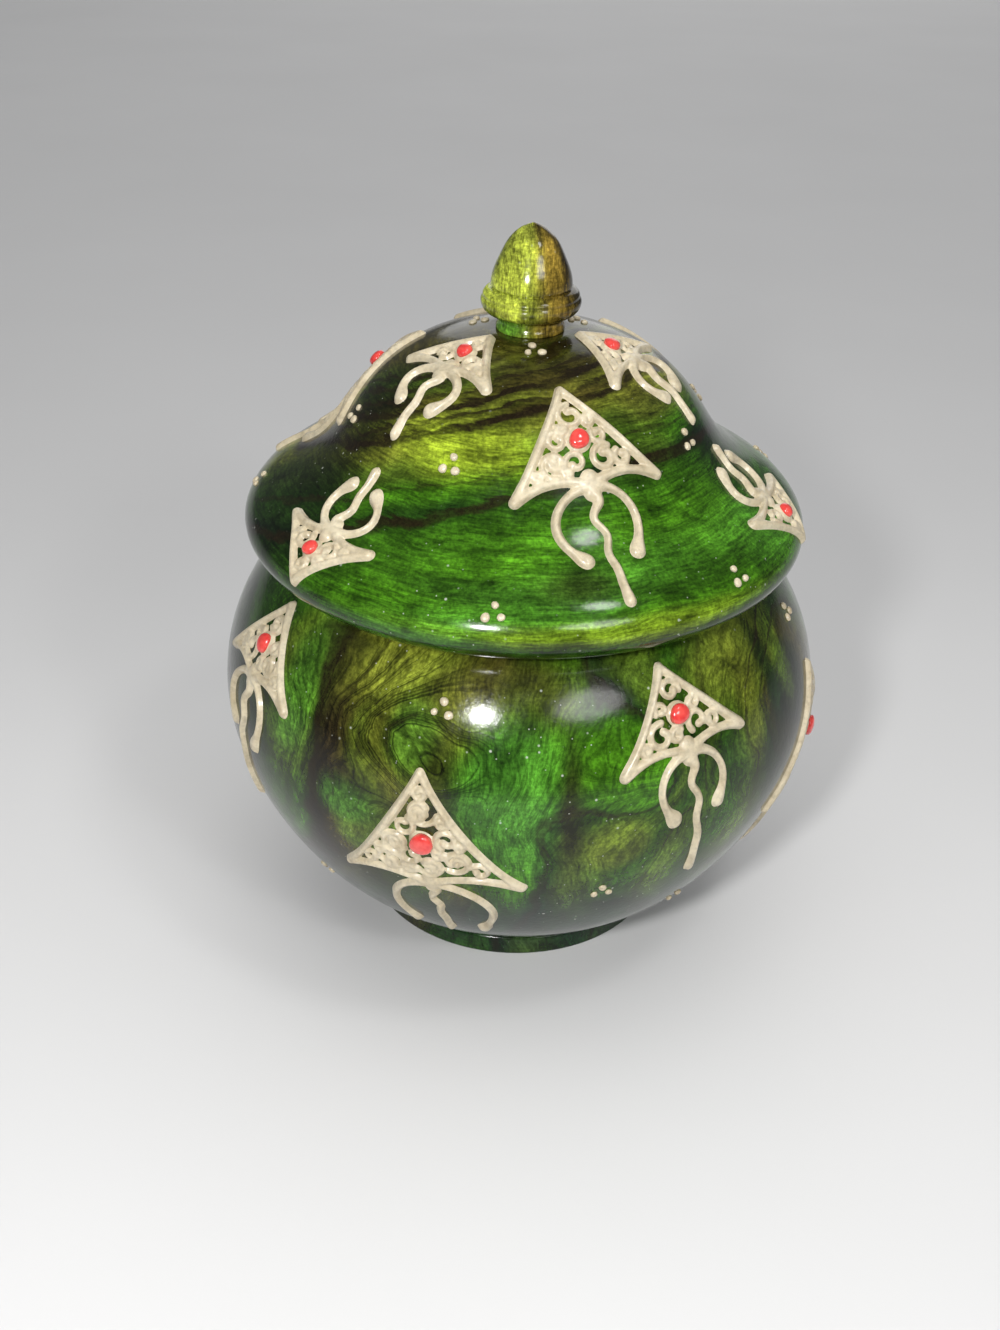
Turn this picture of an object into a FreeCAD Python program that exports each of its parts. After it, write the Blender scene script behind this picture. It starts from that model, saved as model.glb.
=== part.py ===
import FreeCAD
import Part
import math
import os

# A turned wooden jar with a lift-off lid, an acorn finial and raised paste ornament.
# Millimetres, +Z up, origin at the middle of the foot's underside, front towards -Y.
# Every turned outline runs upwards as (radius, height), so outwards is always on its right.
# Azimuths are degrees round the jar, counted from the front towards +X.

# Jar body
foot_radius = 36.7
foot_height = 4.6
foot_edge_round = 0.8
groove_depth = 1.5
groove_height = 0.9
belly_radius = 69.0
belly_height = 60.0
rim_radius = 49.6
jar_height = 96.9
mouth_radius = 43.0
mouth_depth = 9.0
wall_thickness = 7.0
floor_thickness = 9.0
floor_radius = 26.0

# Outline of the belly as (radius, height) shares of the way from the groove to the widest
# place, and from the widest place to the rim
lower_belly_shares = [(0.257, 0.119), (0.503, 0.266), (0.811, 0.56), (0.958, 0.80)]
upper_belly_shares = [(0.093, 0.325), (0.263, 0.542), (0.541, 0.759)]
# Where the inside of the wall follows the outside, along the belly from foot to rim
cavity_shares = [0.24, 0.38, 0.54, 0.68, 0.78]

# Lid
lid_height = 46.0
brim_radius = 62.0
brim_height = 6.1
brim_foot_radius = 59.4
crown_radius = 9.0
crown_thickness = 13.0
spigot_clearance = 0.4
spigot_depth = 6.5
spigot_wall = 5.0
lid_recess_height = 8.0

# Outline of the lid as (radius, height) shares, from the crown's edge to the brim's widest place
dome_shares = [
    (0.966, 0.075), (0.804, 0.226), (0.655, 0.388), (0.551, 0.576), (0.415, 0.777), (0.215, 0.927),
]
# Hollow under the lid as shares of its radius and of its height above the straight part
hollow_shares = [(0.85, 0.45), (0.53, 0.80)]

# Finial
tenon_radius = 4.0
tenon_length = 9.0
glue_gap = 0.05
collar_radius = 7.3
collar_height = 0.8
neck_radius = 6.9
neck_height = 3.4
ring_radius = 10.6
ring_height = 5.4
ring_root_radius = 8.1
acorn_radius = 8.6
acorn_lip = 0.6
acorn_height = 12.7
acorn_shares = [(0.97, 0.15), (0.80, 0.45), (0.61, 0.70), (0.36, 0.88)]

# Raised ornament
bond_gap = 0.06
relief = 1.0
stroke_width = 1.8
tassel_tip_radius = 1.6
red_drop_height = 1.1
dot_radius = 0.9
dot_height = 0.6
dot_spacing = 1.7
crown_gap = 1.2

# Pendants: width and height of the triangular plate, length of the side tassels and of the tail,
# and radius of the red drop
crown_low_width = 30.4
crown_low_height = 20.5
crown_low_tassel = 15.0
crown_low_tail = 25.0
crown_low_drop = 2.1
crown_high_width = 23.4
crown_high_height = 12.5
crown_high_tassel = 9.5
crown_high_tail = 16.0
crown_high_drop = 1.8
brim_pendant_width = 24.8
brim_pendant_height = 12.0
brim_pendant_tassel = 11.0
brim_pendant_tail = 15.0
brim_pendant_drop = 1.7
belly_high_width = 29.3
belly_high_height = 18.0
belly_high_tassel = 13.5
belly_high_tail = 27.0
belly_high_drop = 2.2
belly_low_width = 38.0
belly_low_height = 28.0
belly_low_tassel = 20.0
belly_low_tail = 22.0
belly_low_drop = 2.6

# Shares that draw one pendant
drop_share = 0.56
leaf_count = 9
leaf_width_share = 0.30
tassel_start_share = 0.06
tassel_swing_share = 0.30
tassel_tip_share = 0.17
tail_swing_shares = [(0.0, 0.0), (0.9, 0.2), (-0.9, 0.4), (0.6, 0.58), (0.0, 0.74), (0.0, 1.0)]

# Places of the pendants: share of the outline's length, and (azimuth, tilt) of each one
crown_low_place_share = 0.63
brim_place_share = 0.19
belly_high_place_share = 0.817
belly_low_place_share = 0.577
crown_low_turns = [(17.5, 6), (137.5, -3), (255.5, 2)]
crown_high_turns = [(-47, 1), (71, 0), (192, -2)]
brim_turns = [(-47.5, 180), (75.5, 180), (196, 182)]
belly_high_turns = [(-59.5, -3), (31, 7), (121, -2), (210, 3)]
belly_low_turns = [(-15.5, 4), (75, -2), (165, 2), (254, -3)]

# Places of the dot triads: share of the outline's length, and the azimuths in that row
lid_dots_by_share = {
    0.155: [-88, -5, 47, 112, 160, 231],
    0.545: [-74, -23, 61, 103, 168, 219],
    0.955: [5, 125, 245],
}
belly_dots_by_share = {
    0.26: [42, 131, 221, 310],
    0.44: [17, 107, 196, 286],
    0.845: [-14, 76, 166, 256],
}

# Working values: steps along an outline's offset, degrees of turn of a layer and of a whole turn,
# and the reach of a pendant's prism each way, as a share of the pendant's length
outline_steps = 16
skin_span = 150
prism_share = 0.5
full_turn = 360

axis_point = FreeCAD.Vector(0, 0, 0)
axis_up = FreeCAD.Vector(0, 0, 1)
seat_height = jar_height
crown_height = jar_height + lid_height


def at(radius, height):
    """A point of a turned outline, drawn in the plane of +X and +Z."""
    return FreeCAD.Vector(radius, 0, height)


def line(start, end):
    """A straight edge."""
    return Part.LineSegment(start, end).toShape()


def arc(start, middle, end):
    """A round edge through three points."""
    return Part.Arc(start, middle, end).toShape()


def spline(points):
    """A smooth curve through points."""
    curve = Part.BSplineCurve()
    curve.interpolate(points)
    return curve


def between(start, end, shares):
    """Points at (radius, height) shares of the way from one outline point to another."""
    points = []
    for radius_share, height_share in shares:
        radius = start.x + (end.x - start.x) * radius_share
        height = start.z + (end.z - start.z) * height_share
        points.append(at(radius, height))
    return points


def turned(edges):
    """A solid turned about the jar's axis from a closed outline."""
    return Part.Face(Part.Wire(Part.__sortEdges__(edges))).revolve(axis_point, axis_up, full_turn)


def along(curve, share):
    """Point, upward direction and outward direction at a share of a turned outline's length."""
    parameter = curve.parameterAtDistance(curve.length() * share, curve.FirstParameter)
    up = curve.tangent(parameter)[0]
    return curve.value(parameter), up, FreeCAD.Vector(up.z, 0, -up.x)


def moved_out(curve, distance, shares):
    """Points at shares of a turned outline, moved outwards, or inwards where distance is below zero."""
    points = []
    for share in shares:
        point, up, out = along(curve, share)
        points.append(point + out * distance)
    return points


def belly_outline():
    """Outside of the jar from the groove above the foot, over the belly, to the rim."""
    groove = at(foot_radius - groove_depth, foot_height + groove_height)
    widest = at(belly_radius, belly_height)
    rim = at(rim_radius, jar_height)
    points = [groove]
    points += between(groove, widest, lower_belly_shares)
    points.append(widest)
    points += between(widest, rim, upper_belly_shares)
    points.append(rim)
    return spline(points)


def lid_outline():
    """Outside of the lid from the brim's foot, over the brim and the hollow of the ogee, to the crown."""
    foot = at(brim_foot_radius, seat_height)
    widest = at(brim_radius, seat_height + brim_height)
    crown = at(crown_radius, crown_height)
    return spline([foot, widest] + between(crown, widest, flipped(dome_shares)) + [crown])


def flipped(shares):
    """The same shares with heights counted from the other end."""
    return [(radius_share, 1 - height_share) for radius_share, height_share in shares]


def jar_body(outline):
    """The bowl with its foot, turned from one block and hollowed through the mouth."""
    rim = outline.value(outline.LastParameter)
    groove = outline.value(outline.FirstParameter)
    mouth_top = at(mouth_radius, jar_height)
    mouth_bottom = at(mouth_radius, jar_height - mouth_depth)
    floor_edge = at(floor_radius, floor_thickness)
    cavity = spline([floor_edge] + moved_out(outline, -wall_thickness, cavity_shares) + [mouth_bottom])
    foot_flat = at(foot_radius - foot_edge_round, 0)
    foot_side = at(foot_radius, foot_edge_round)
    foot_bend = at(foot_flat.x, foot_side.z) + at(foot_edge_round, -foot_edge_round) * math.sqrt(0.5)
    foot_top = at(foot_radius, foot_height)
    floor_middle = at(0, floor_thickness)
    return turned([
        line(axis_point, foot_flat),
        arc(foot_flat, foot_bend, foot_side),
        line(foot_side, foot_top),
        line(foot_top, groove),
        outline.toShape(),
        line(rim, mouth_top),
        line(mouth_top, mouth_bottom),
        cavity.toShape(),
        line(floor_edge, floor_middle),
        line(floor_middle, axis_point),
    ])


def lid_wood(outline):
    """The domed lid with its overhanging brim, the spigot that enters the mouth and the finial's socket."""
    brim_foot = outline.value(outline.FirstParameter)
    crown_edge = outline.value(outline.LastParameter)
    spigot_radius = mouth_radius - spigot_clearance
    hollow_radius = spigot_radius - spigot_wall
    socket_radius = tenon_radius + glue_gap
    spigot_root = at(spigot_radius, seat_height)
    spigot_outer = at(spigot_radius, seat_height - spigot_depth)
    spigot_inner = at(hollow_radius, seat_height - spigot_depth)
    hollow_foot = at(hollow_radius, seat_height + lid_recess_height)
    hollow_top = at(0, crown_height - crown_thickness)
    hollow = spline([hollow_foot] + between(hollow_top, hollow_foot, flipped(hollow_shares)) + [hollow_top])
    socket_edge = at(socket_radius, crown_height)
    socket_corner = at(socket_radius, crown_height - tenon_length - glue_gap)
    socket_middle = at(0, crown_height - tenon_length - glue_gap)
    return turned([
        outline.toShape(),
        line(crown_edge, socket_edge),
        line(socket_edge, socket_corner),
        line(socket_corner, socket_middle),
        line(socket_middle, hollow_top),
        hollow.toShape(),
        line(hollow_foot, spigot_inner),
        line(spigot_inner, spigot_outer),
        line(spigot_outer, spigot_root),
        line(spigot_root, brim_foot),
    ])


def finial():
    """The acorn knob: tenon, collar, hollow neck, round ring and acorn, turned in one piece."""
    tenon_middle = at(0, crown_height - tenon_length)
    tenon_corner = at(tenon_radius, crown_height - tenon_length)
    tenon_root = at(tenon_radius, crown_height)
    collar_foot = at(collar_radius, crown_height)
    collar_top = at(collar_radius, crown_height + collar_height)
    ring_foot_height = crown_height + neck_height
    neck_waist = at(neck_radius, (collar_top.z + ring_foot_height) / 2)
    ring_foot = at(ring_root_radius, ring_foot_height)
    ring_waist = at(ring_radius, ring_foot_height + ring_height / 2)
    ring_top = at(ring_root_radius, ring_foot_height + ring_height)
    acorn_foot = at(acorn_radius, ring_top.z + acorn_lip)
    acorn_tip = at(0, acorn_foot.z + acorn_height)
    acorn_rise = at(0, acorn_foot.z)
    acorn_points = [acorn_foot]
    for radius_share, height_share in acorn_shares:
        acorn_points.append(acorn_rise + at(acorn_radius * radius_share, acorn_height * height_share))
    acorn_points.append(acorn_tip)
    return turned([
        line(tenon_middle, tenon_corner),
        line(tenon_corner, tenon_root),
        line(tenon_root, collar_foot),
        line(collar_foot, collar_top),
        arc(collar_top, neck_waist, ring_foot),
        arc(ring_foot, ring_waist, ring_top),
        line(ring_top, acorn_foot),
        spline(acorn_points).toShape(),
        line(acorn_tip, tenon_middle),
    ])


def skin(outline, inner, outer):
    """A layer that follows a turned outline, from one distance outside it to another, over the front.

    Its faces are made spline surfaces, because those cross the ornament's walls cleanly at any place.
    """
    shares = [step / outline_steps for step in range(outline_steps + 1)]
    inside = moved_out(outline, inner, shares)
    outside = moved_out(outline, outer, shares)
    layer = Part.Face(Part.Wire(Part.__sortEdges__([
        spline(inside).toShape(),
        line(inside[-1], outside[-1]),
        spline(outside).toShape(),
        line(outside[0], inside[0]),
    ])))
    layer.rotate(axis_point, axis_up, -(full_turn / 4) - skin_span / 2)
    return layer.revolve(axis_point, axis_up, skin_span).toNurbs()


def front_place(outline, share):
    """Placement on the front of a turned outline: x to the right, y up the outline, z outwards."""
    point, up, out = along(outline, share)
    return FreeCAD.Placement(FreeCAD.Matrix(
        1, 0, 0, 0,
        0, -up.x, -out.x, -point.x,
        0, up.z, out.z, point.z,
        0, 0, 0, 1,
    ))


def flat(x, y):
    """A point of the flat drawing of an ornament."""
    return FreeCAD.Vector(x, y, 0)


def stroke(edges):
    """A piped line of the usual width, with round ends, along a flat path."""
    return Part.Face(Part.Wire(edges).makeOffset2D(stroke_width / 2))


def disc(centre, radius):
    """A round blob."""
    return Part.Face(Part.Wire([Part.makeCircle(radius, centre)]))


def leaf(direction, start, end, half_width):
    """A leaf-shaped opening that points away from the red drop."""
    ahead = flat(math.cos(direction), math.sin(direction))
    aside = flat(-ahead.y, ahead.x) * half_width
    middle = ahead * ((start + end) / 2)
    return Part.Face(Part.Wire([
        arc(ahead * start, middle + aside, ahead * end),
        arc(ahead * end, middle - aside, ahead * start),
    ]))


def pendant_corners(width, height):
    """Corners of the triangular plate, with the red drop at the drawing's origin."""
    below = -height * (1 - drop_share)
    return [flat(-width / 2, below), flat(width / 2, below), flat(0, height * drop_share)]


def pendant_leaves(corners, drop_radius):
    """Leaf-shaped openings round the red drop, each as long as the plate leaves room for."""
    start = drop_radius + stroke_width / 2
    leaves = []
    for number in range(leaf_count):
        direction = math.pi / 2 + number * 2 * math.pi / leaf_count
        ahead = flat(math.cos(direction), math.sin(direction))
        reaches = []
        for corner, following in zip(corners, corners[1:] + corners[:1]):
            side = following - corner
            outward = flat(side.y, -side.x).normalize()
            if outward.dot(ahead) > 0:
                reaches.append((outward.dot(corner) - stroke_width / 2) / outward.dot(ahead))
        end = min(reaches)
        if end - start > stroke_width / 2:
            spread = (start + end) * math.pi / leaf_count
            leaves.append(leaf(direction, start, end, spread * leaf_width_share))
    return leaves


def pendant_strokes(width, height, tassel, tail):
    """The plate, a tassel to each side and a wavy tail between them, drawn flat."""
    corners = pendant_corners(width, height)
    foot = corners[0].y
    pieces = [Part.Face(Part.makePolygon(corners + corners[:1]).makeOffset2D(stroke_width / 2))]
    for side in (-1, 1):
        start = flat(side * width * tassel_start_share, foot)
        swing = flat(side * width * tassel_swing_share, foot - tassel / 2)
        tip = flat(side * width * tassel_tip_share, foot - tassel)
        pieces.append(stroke([arc(start, swing, tip)]))
        pieces.append(disc(tip, tassel_tip_radius))
    points = [flat(swing * stroke_width, foot - tail * drop) for swing, drop in tail_swing_shares]
    pieces.append(stroke(Part.makePolygon(points).Edges))
    pieces.append(disc(points[-1], tassel_tip_radius))
    return pieces


def prisms(faces, reach):
    """Upright prisms on flat faces, reaching as far below the drawing as above it."""
    standing = []
    for face in faces:
        prism = face.extrude(axis_up * (2 * reach))
        prism.translate(axis_up * -reach)
        standing.append(prism)
    return standing


def pendant(outline, layer, share, size, tilt):
    """A pendant wrapped on the front of a turned outline, cut from the ornament's layer.

    Its walls are made spline surfaces first, as the layer's faces are.
    """
    width, height, tassel, tail, drop_radius = size
    reach = (height + tail) * prism_share
    strokes = prisms(pendant_strokes(width, height, tassel, tail), reach)
    whole = strokes[0].fuse(strokes[1:]).removeSplitter()
    leaves = pendant_leaves(pendant_corners(width, height), drop_radius)
    openings = Part.makeCompound(prisms(leaves, reach))
    for shape in (whole, openings):
        shape.rotate(axis_point, axis_up, tilt)
        shape.Placement = front_place(outline, share).multiply(shape.Placement)
    return whole.toNurbs().common(layer).cut(openings.toNurbs())


def caps(outline, share, spots, radius, height, level):
    """Low round caps at flat spots about a place on the front, sitting at a level above the wood."""
    ball_radius = (radius ** 2 + height ** 2) / (2 * height)
    base_latitude = math.degrees(math.asin((ball_radius - height) / ball_radius))
    place = front_place(outline, share)
    domes = []
    for spot in spots:
        dome = Part.makeSphere(ball_radius, axis_point, axis_up, base_latitude, full_turn / 4)
        dome.translate(spot + axis_up * (level + height - ball_radius))
        dome.Placement = place.multiply(dome.Placement)
        domes.append(dome)
    return Part.makeCompound(domes)


def turned_to(shape, azimuth):
    """A copy of a shape on the front, turned round the jar to an azimuth."""
    copy = shape.copy()
    copy.rotate(axis_point, axis_up, azimuth)
    return copy


def pendant_ring(name, outline, layer, share, size, turns):
    """Nodes of one ring of pendants, and the red drops that sit on them."""
    drop_radius = size[-1]
    red_drop = caps(outline, share, [flat(0, 0)], drop_radius, red_drop_height, 2 * bond_gap + relief)
    nodes = {}
    drops = []
    for number, (azimuth, tilt) in enumerate(turns, start=1):
        front = pendant(outline, layer, share, size, tilt)
        nodes[f"{name}_{number}"] = turned_to(front, azimuth)
        drops += turned_to(red_drop, azimuth).Solids
    return nodes, drops


def dot_rows(outline, azimuths_by_share):
    """Triads of small dots, one row for each height."""
    spots = []
    for number in range(3):
        angle = math.pi / 2 + number * 2 * math.pi / 3
        spots.append(flat(math.cos(angle), math.sin(angle)) * dot_spacing)
    dots = []
    for share, azimuths in azimuths_by_share.items():
        triad = caps(outline, share, spots, dot_radius, dot_height, bond_gap)
        for azimuth in azimuths:
            dots += turned_to(triad, azimuth).Solids
    return Part.makeCompound(dots)


def lid_ornament(outline):
    """Three rings of pendants on the lid, their red drops and the dots between them."""
    layer = skin(outline, bond_gap, bond_gap + relief)
    crown_low = (crown_low_width, crown_low_height, crown_low_tassel, crown_low_tail, crown_low_drop)
    crown_high = (
        crown_high_width, crown_high_height, crown_high_tassel, crown_high_tail, crown_high_drop,
    )
    brim = (
        brim_pendant_width, brim_pendant_height, brim_pendant_tassel, brim_pendant_tail, brim_pendant_drop,
    )
    from_crown = crown_gap + stroke_width / 2 + crown_high_height * drop_share
    crown_high_share = 1 - from_crown / outline.length()
    nodes = {}
    drops = []
    for name, share, size, turns in (
        ("crown_low_pendant", crown_low_place_share, crown_low, crown_low_turns),
        ("crown_high_pendant", crown_high_share, crown_high, crown_high_turns),
        ("brim_pendant", brim_place_share, brim, brim_turns),
    ):
        ring, ring_drops = pendant_ring(name, outline, layer, share, size, turns)
        nodes.update(ring)
        drops += ring_drops
    nodes["lid_red_drops"] = Part.makeCompound(drops)
    nodes["lid_dots"] = dot_rows(outline, lid_dots_by_share)
    return nodes


def belly_ornament(outline):
    """Two rings of pendants on the belly, their red drops and the dots between them."""
    layer = skin(outline, bond_gap, bond_gap + relief)
    high = (belly_high_width, belly_high_height, belly_high_tassel, belly_high_tail, belly_high_drop)
    low = (belly_low_width, belly_low_height, belly_low_tassel, belly_low_tail, belly_low_drop)
    nodes = {}
    drops = []
    for name, share, size, turns in (
        ("belly_high_pendant", belly_high_place_share, high, belly_high_turns),
        ("belly_low_pendant", belly_low_place_share, low, belly_low_turns),
    ):
        ring, ring_drops = pendant_ring(name, outline, layer, share, size, turns)
        nodes.update(ring)
        drops += ring_drops
    nodes["belly_red_drops"] = Part.makeCompound(drops)
    nodes["belly_dots"] = dot_rows(outline, belly_dots_by_share)
    return nodes


def build():
    """All the jar's pieces by name."""
    belly = belly_outline()
    dome = lid_outline()
    pieces = {"jar_body": jar_body(belly), "lid": lid_wood(dome), "finial": finial()}
    pieces.update(lid_ornament(dome))
    pieces.update(belly_ornament(belly))
    return pieces


os.makedirs("parts", exist_ok=True)
for node, shape in build().items():
    shape.exportStep(os.path.join("parts", node + ".step"))
    state = "valid" if shape.isValid() else "bad"
    print(node, len(shape.Solids), "solids", round(shape.Volume, 1), "mm3", state)
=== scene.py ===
"""The looks of a turned wooden jar with a lift-off lid.

Green stained burl wood under glossy lacquer, raised pendants of cream paste, coral drops and dots.
Metres, +Z up, origin in the middle of the foot's underside, front towards -Y. Azimuths are degrees
round the jar, counted from the front towards +X. An outline is a list of (radius, height) pairs.
"""

import logging
import math
from dataclasses import asdict, dataclass, field
from enum import Enum
from typing import ClassVar, Iterable, Sequence

import bpy
import numpy as np
from mathutils import Matrix, Vector


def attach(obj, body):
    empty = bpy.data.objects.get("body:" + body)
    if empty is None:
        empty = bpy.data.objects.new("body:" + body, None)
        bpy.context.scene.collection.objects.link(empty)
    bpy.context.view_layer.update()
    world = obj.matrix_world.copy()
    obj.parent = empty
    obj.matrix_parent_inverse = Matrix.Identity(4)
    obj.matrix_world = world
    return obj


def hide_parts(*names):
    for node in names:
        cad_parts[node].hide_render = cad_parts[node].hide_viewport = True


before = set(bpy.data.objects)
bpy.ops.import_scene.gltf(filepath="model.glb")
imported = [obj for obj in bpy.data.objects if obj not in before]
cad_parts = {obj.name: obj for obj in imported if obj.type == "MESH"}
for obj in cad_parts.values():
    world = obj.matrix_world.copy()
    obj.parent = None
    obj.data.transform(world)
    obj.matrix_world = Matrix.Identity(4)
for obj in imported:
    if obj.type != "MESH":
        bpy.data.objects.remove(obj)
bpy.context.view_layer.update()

log = logging.getLogger("jar")
Array = np.ndarray
Pair = tuple[float, float]
Point = tuple[float, float, float]
Object = bpy.types.Object
Material = bpy.types.Material
Socket = bpy.types.NodeSocket
Value = Socket | float | Sequence[float]

FULL_TURN = 2 * math.pi
# Half width, in degrees, of a patch that runs all round.
ALL_ROUND = 900.0
# Upper end of a random phase, about a full turn.
LAST_PHASE = 6.3
# Height of the red drop on a plate, as a share of the plate's height.
DROP_SHARE = 0.56


class Body(Enum):
    """The two bodies that the pieces ride on."""

    JAR = "jar"
    LID = "lid"


class Slot(Enum):
    """The material slots of the record."""

    GREEN_WOOD = "green_stained_wood"
    OLIVE_WOOD = "olive_stained_wood"
    PASTE = "cream_relief_paste"
    CORAL = "coral_red_drop"


class Tone(Enum):
    """Colours of the wood as linear colours: stains, and painted shade in a few patches of TEAL, DEEP and
    BLACK_GREEN.
    """

    LIME = (0.235, 0.320, 0.018)
    YELLOW_OLIVE = (0.122, 0.142, 0.014)
    OLIVE = (0.058, 0.100, 0.009)
    BRIGHT_GREEN = (0.048, 0.165, 0.014)
    EMERALD = (0.034, 0.112, 0.004)
    BOTTLE = (0.016, 0.052, 0.003)
    DEEP = (0.005, 0.016, 0.003)
    TEAL = (0.004, 0.017, 0.011)
    UMBER = (0.042, 0.036, 0.006)
    BROWN = (0.012, 0.008, 0.003)
    BLACK_GREEN = (0.003, 0.006, 0.002)
    GOLD = (0.185, 0.125, 0.018)
    APPLE = (0.390, 0.450, 0.050)


def running_length(run: Array) -> Array:
    """Length along a run of points, from its first point to each one."""
    return np.concatenate(([0.0], np.cumsum(np.linalg.norm(np.diff(run, axis=0), axis=1))))


def along(place: Array, lengths: Array, rows: Array) -> Array:
    """Pairs at places along a run: both columns of its rows, interpolated over its lengths."""
    return np.stack([np.interp(place, lengths, rows[:, axis]) for axis in (0, 1)], axis=-1)


def around(outline: Array, turn: Array) -> Array:
    """Points in space from (radius, height) pairs and turns in radians from the front."""
    radius, height, turn = np.broadcast_arrays(outline[..., 0], outline[..., 1], turn)
    return np.stack([radius * np.sin(turn), -radius * np.cos(turn), height], axis=-1)


class Outline:
    """A smooth turned outline through a few (radius, height) points.

    On chord-length parameters it is the cubic spline whose end slopes are those of the cubics through
    its first and its last four points. A place on it is its length from the first point.
    """

    WRAP_STEPS: ClassVar[int] = 8
    LEAST_DEPTH_SQUARED: ClassVar[float] = 1e-8
    LEAST_RATE: ClassVar[float] = 0.1

    def __init__(self, points: Sequence[Pair], samples: int = 1600) -> None:
        """Fits the spline and measures it.

        Args:
            points: the (radius, height) pairs that it passes through, from the bottom up.
            samples: how many points the measured table holds.
        """
        through = np.array(points)
        chords = np.linalg.norm(np.diff(through, axis=0), axis=1)
        knots = running_length(through)
        slopes = self._slopes(knots, through, chords)
        place = np.linspace(0, knots[-1], samples)
        span = np.clip(np.searchsorted(knots, place, side="right") - 1, 0, len(chords) - 1)
        reach = chords[span][:, None]
        u = ((place - knots[span]) / chords[span])[:, None]
        self.points = (
            (1 + 2 * u) * (1 - u) ** 2 * through[span]
            + u * (1 - u) ** 2 * reach * slopes[span]
            + u ** 2 * (3 - 2 * u) * through[span + 1]
            + u ** 2 * (u - 1) * reach * slopes[span + 1]
        )
        self.lengths = running_length(self.points)
        self.ways = np.gradient(self.points, self.lengths, axis=0)

    @staticmethod
    def _slopes(knots: Array, through: Array, chords: Array) -> Array:
        """Slopes at the knots that make the curvature run on without a break.

        Args:
            knots: chord-length parameters.
            through: points at the knots.
            chords: spans between the knots.

        Returns:
            One slope for each knot, from the usual three-term system.
        """
        count = len(knots)
        system = np.zeros((count, count))
        known = np.zeros((count, 2))
        rates = np.diff(through, axis=0) / chords[:, None]
        inner = np.arange(1, count - 1)
        system[inner, inner - 1] = chords[1:]
        system[inner, inner] = 2 * (chords[:-1] + chords[1:])
        system[inner, inner + 1] = chords[:-1]
        known[1:-1] = 3 * (chords[1:, None] * rates[:-1] + chords[:-1, None] * rates[1:])
        for row, ends in ((0, slice(0, 4)), (count - 1, slice(count - 4, count))):
            cubic = np.polyfit(knots[ends], through[ends], 3)
            system[row, row] = 1
            known[row] = 3 * cubic[0] * knots[row] ** 2 + 2 * cubic[1] * knots[row] + cubic[2]
        return np.linalg.solve(system, known)

    @property
    def length(self) -> float:
        """Length of the whole outline."""
        return float(self.lengths[-1])

    def rows(self, spacing: float) -> Array:
        """Places about a spacing apart, from the first point to the last."""
        return np.linspace(0, self.length, int(self.length / spacing))

    def at(self, place: Array) -> Array:
        """(radius, height) at places along the outline."""
        return along(place, self.lengths, self.points)

    def way(self, place: Array) -> Array:
        """Upward direction, as (radius, height), at places along the outline."""
        ways = along(place, self.lengths, self.ways)
        return ways / np.linalg.norm(ways, axis=-1, keepdims=True)

    def out(self, place: Array) -> Array:
        """Outward direction, as (radius, height): the upward one turned to the right."""
        way = self.way(place)
        return np.stack([way[..., 1], -way[..., 0]], axis=-1)

    def moved(self, place: Array, distance: float) -> Array:
        """Points of the outline moved outwards by a distance."""
        return self.at(place) + distance * self.out(place)

    def wrap(self, flat: Array, lift: Array, anchor: float, azimuth: float) -> Array:
        """Carries a flat drawing onto the turned surface and lifts it off the wood.

        The drawing lies in the plane that touches the surface at the anchor, x to the right and y up the
        outline, and drops onto the surface along that plane's normal. With R(s) and Z(s) the outline and
        (a, b) its direction at the anchor, the length s of a point solves
        a (sqrt(R(s)^2 - x^2) - R0) + b (Z(s) - Z0) = y by Newton's steps, and it turns by asin(x / R(s)).

        Args:
            flat: (n, 2) points of the drawing.
            lift: (n,) heights above the wood.
            anchor: place of the drawing's origin along the outline.
            azimuth: turn of the drawing round the jar, in degrees.

        Returns:
            (n, 3) points in space.
        """
        x, y = flat[:, 0], flat[:, 1]
        radius_0, height_0 = self.at(anchor)
        a, b = self.way(anchor)
        place = anchor + y
        for _ in range(self.WRAP_STEPS):
            here, way = self.at(place), self.way(place)
            depth = np.sqrt(np.maximum(here[:, 0] ** 2 - x ** 2, self.LEAST_DEPTH_SQUARED))
            miss = a * (depth - radius_0) + b * (here[:, 1] - height_0) - y
            rate = a * way[:, 0] * here[:, 0] / depth + b * way[:, 1]
            rate = np.where(np.abs(rate) < self.LEAST_RATE, self.LEAST_RATE, rate)
            place = np.clip(place - miss / rate, 0, self.length)
        here = self.at(place)
        turn = np.arcsin(np.clip(x / here[:, 0], -1, 1)) + math.radians(azimuth)
        return around(here + lift[:, None] * self.out(place), turn)


def wander(points: Array, size: float, seed: int, waves: int = 9, spread: Pair = (0.6, 1.6)) -> Array:
    """A smooth random field: a sum of sines in random directions, from about -1 to 1.

    Args:
        points: (n, 3) points in space.
        size: typical distance between a crest and a trough.
        seed: seed of the random directions.
        waves: how many sines are summed.
        spread: how much finer or coarser a sine may be.

    Returns:
        (n,) values, sum of sin(k.p + phase) over the root of twice the count.
    """
    draw = np.random.default_rng(seed)
    ways = draw.normal(size=(3, waves))
    ways *= math.pi / size / np.linalg.norm(ways, axis=0)
    ways *= draw.uniform(*spread, waves)
    phases = draw.uniform(0, FULL_TURN, waves)
    return np.sin(points @ ways + phases).sum(axis=1) / math.sqrt(2 * waves)


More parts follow.
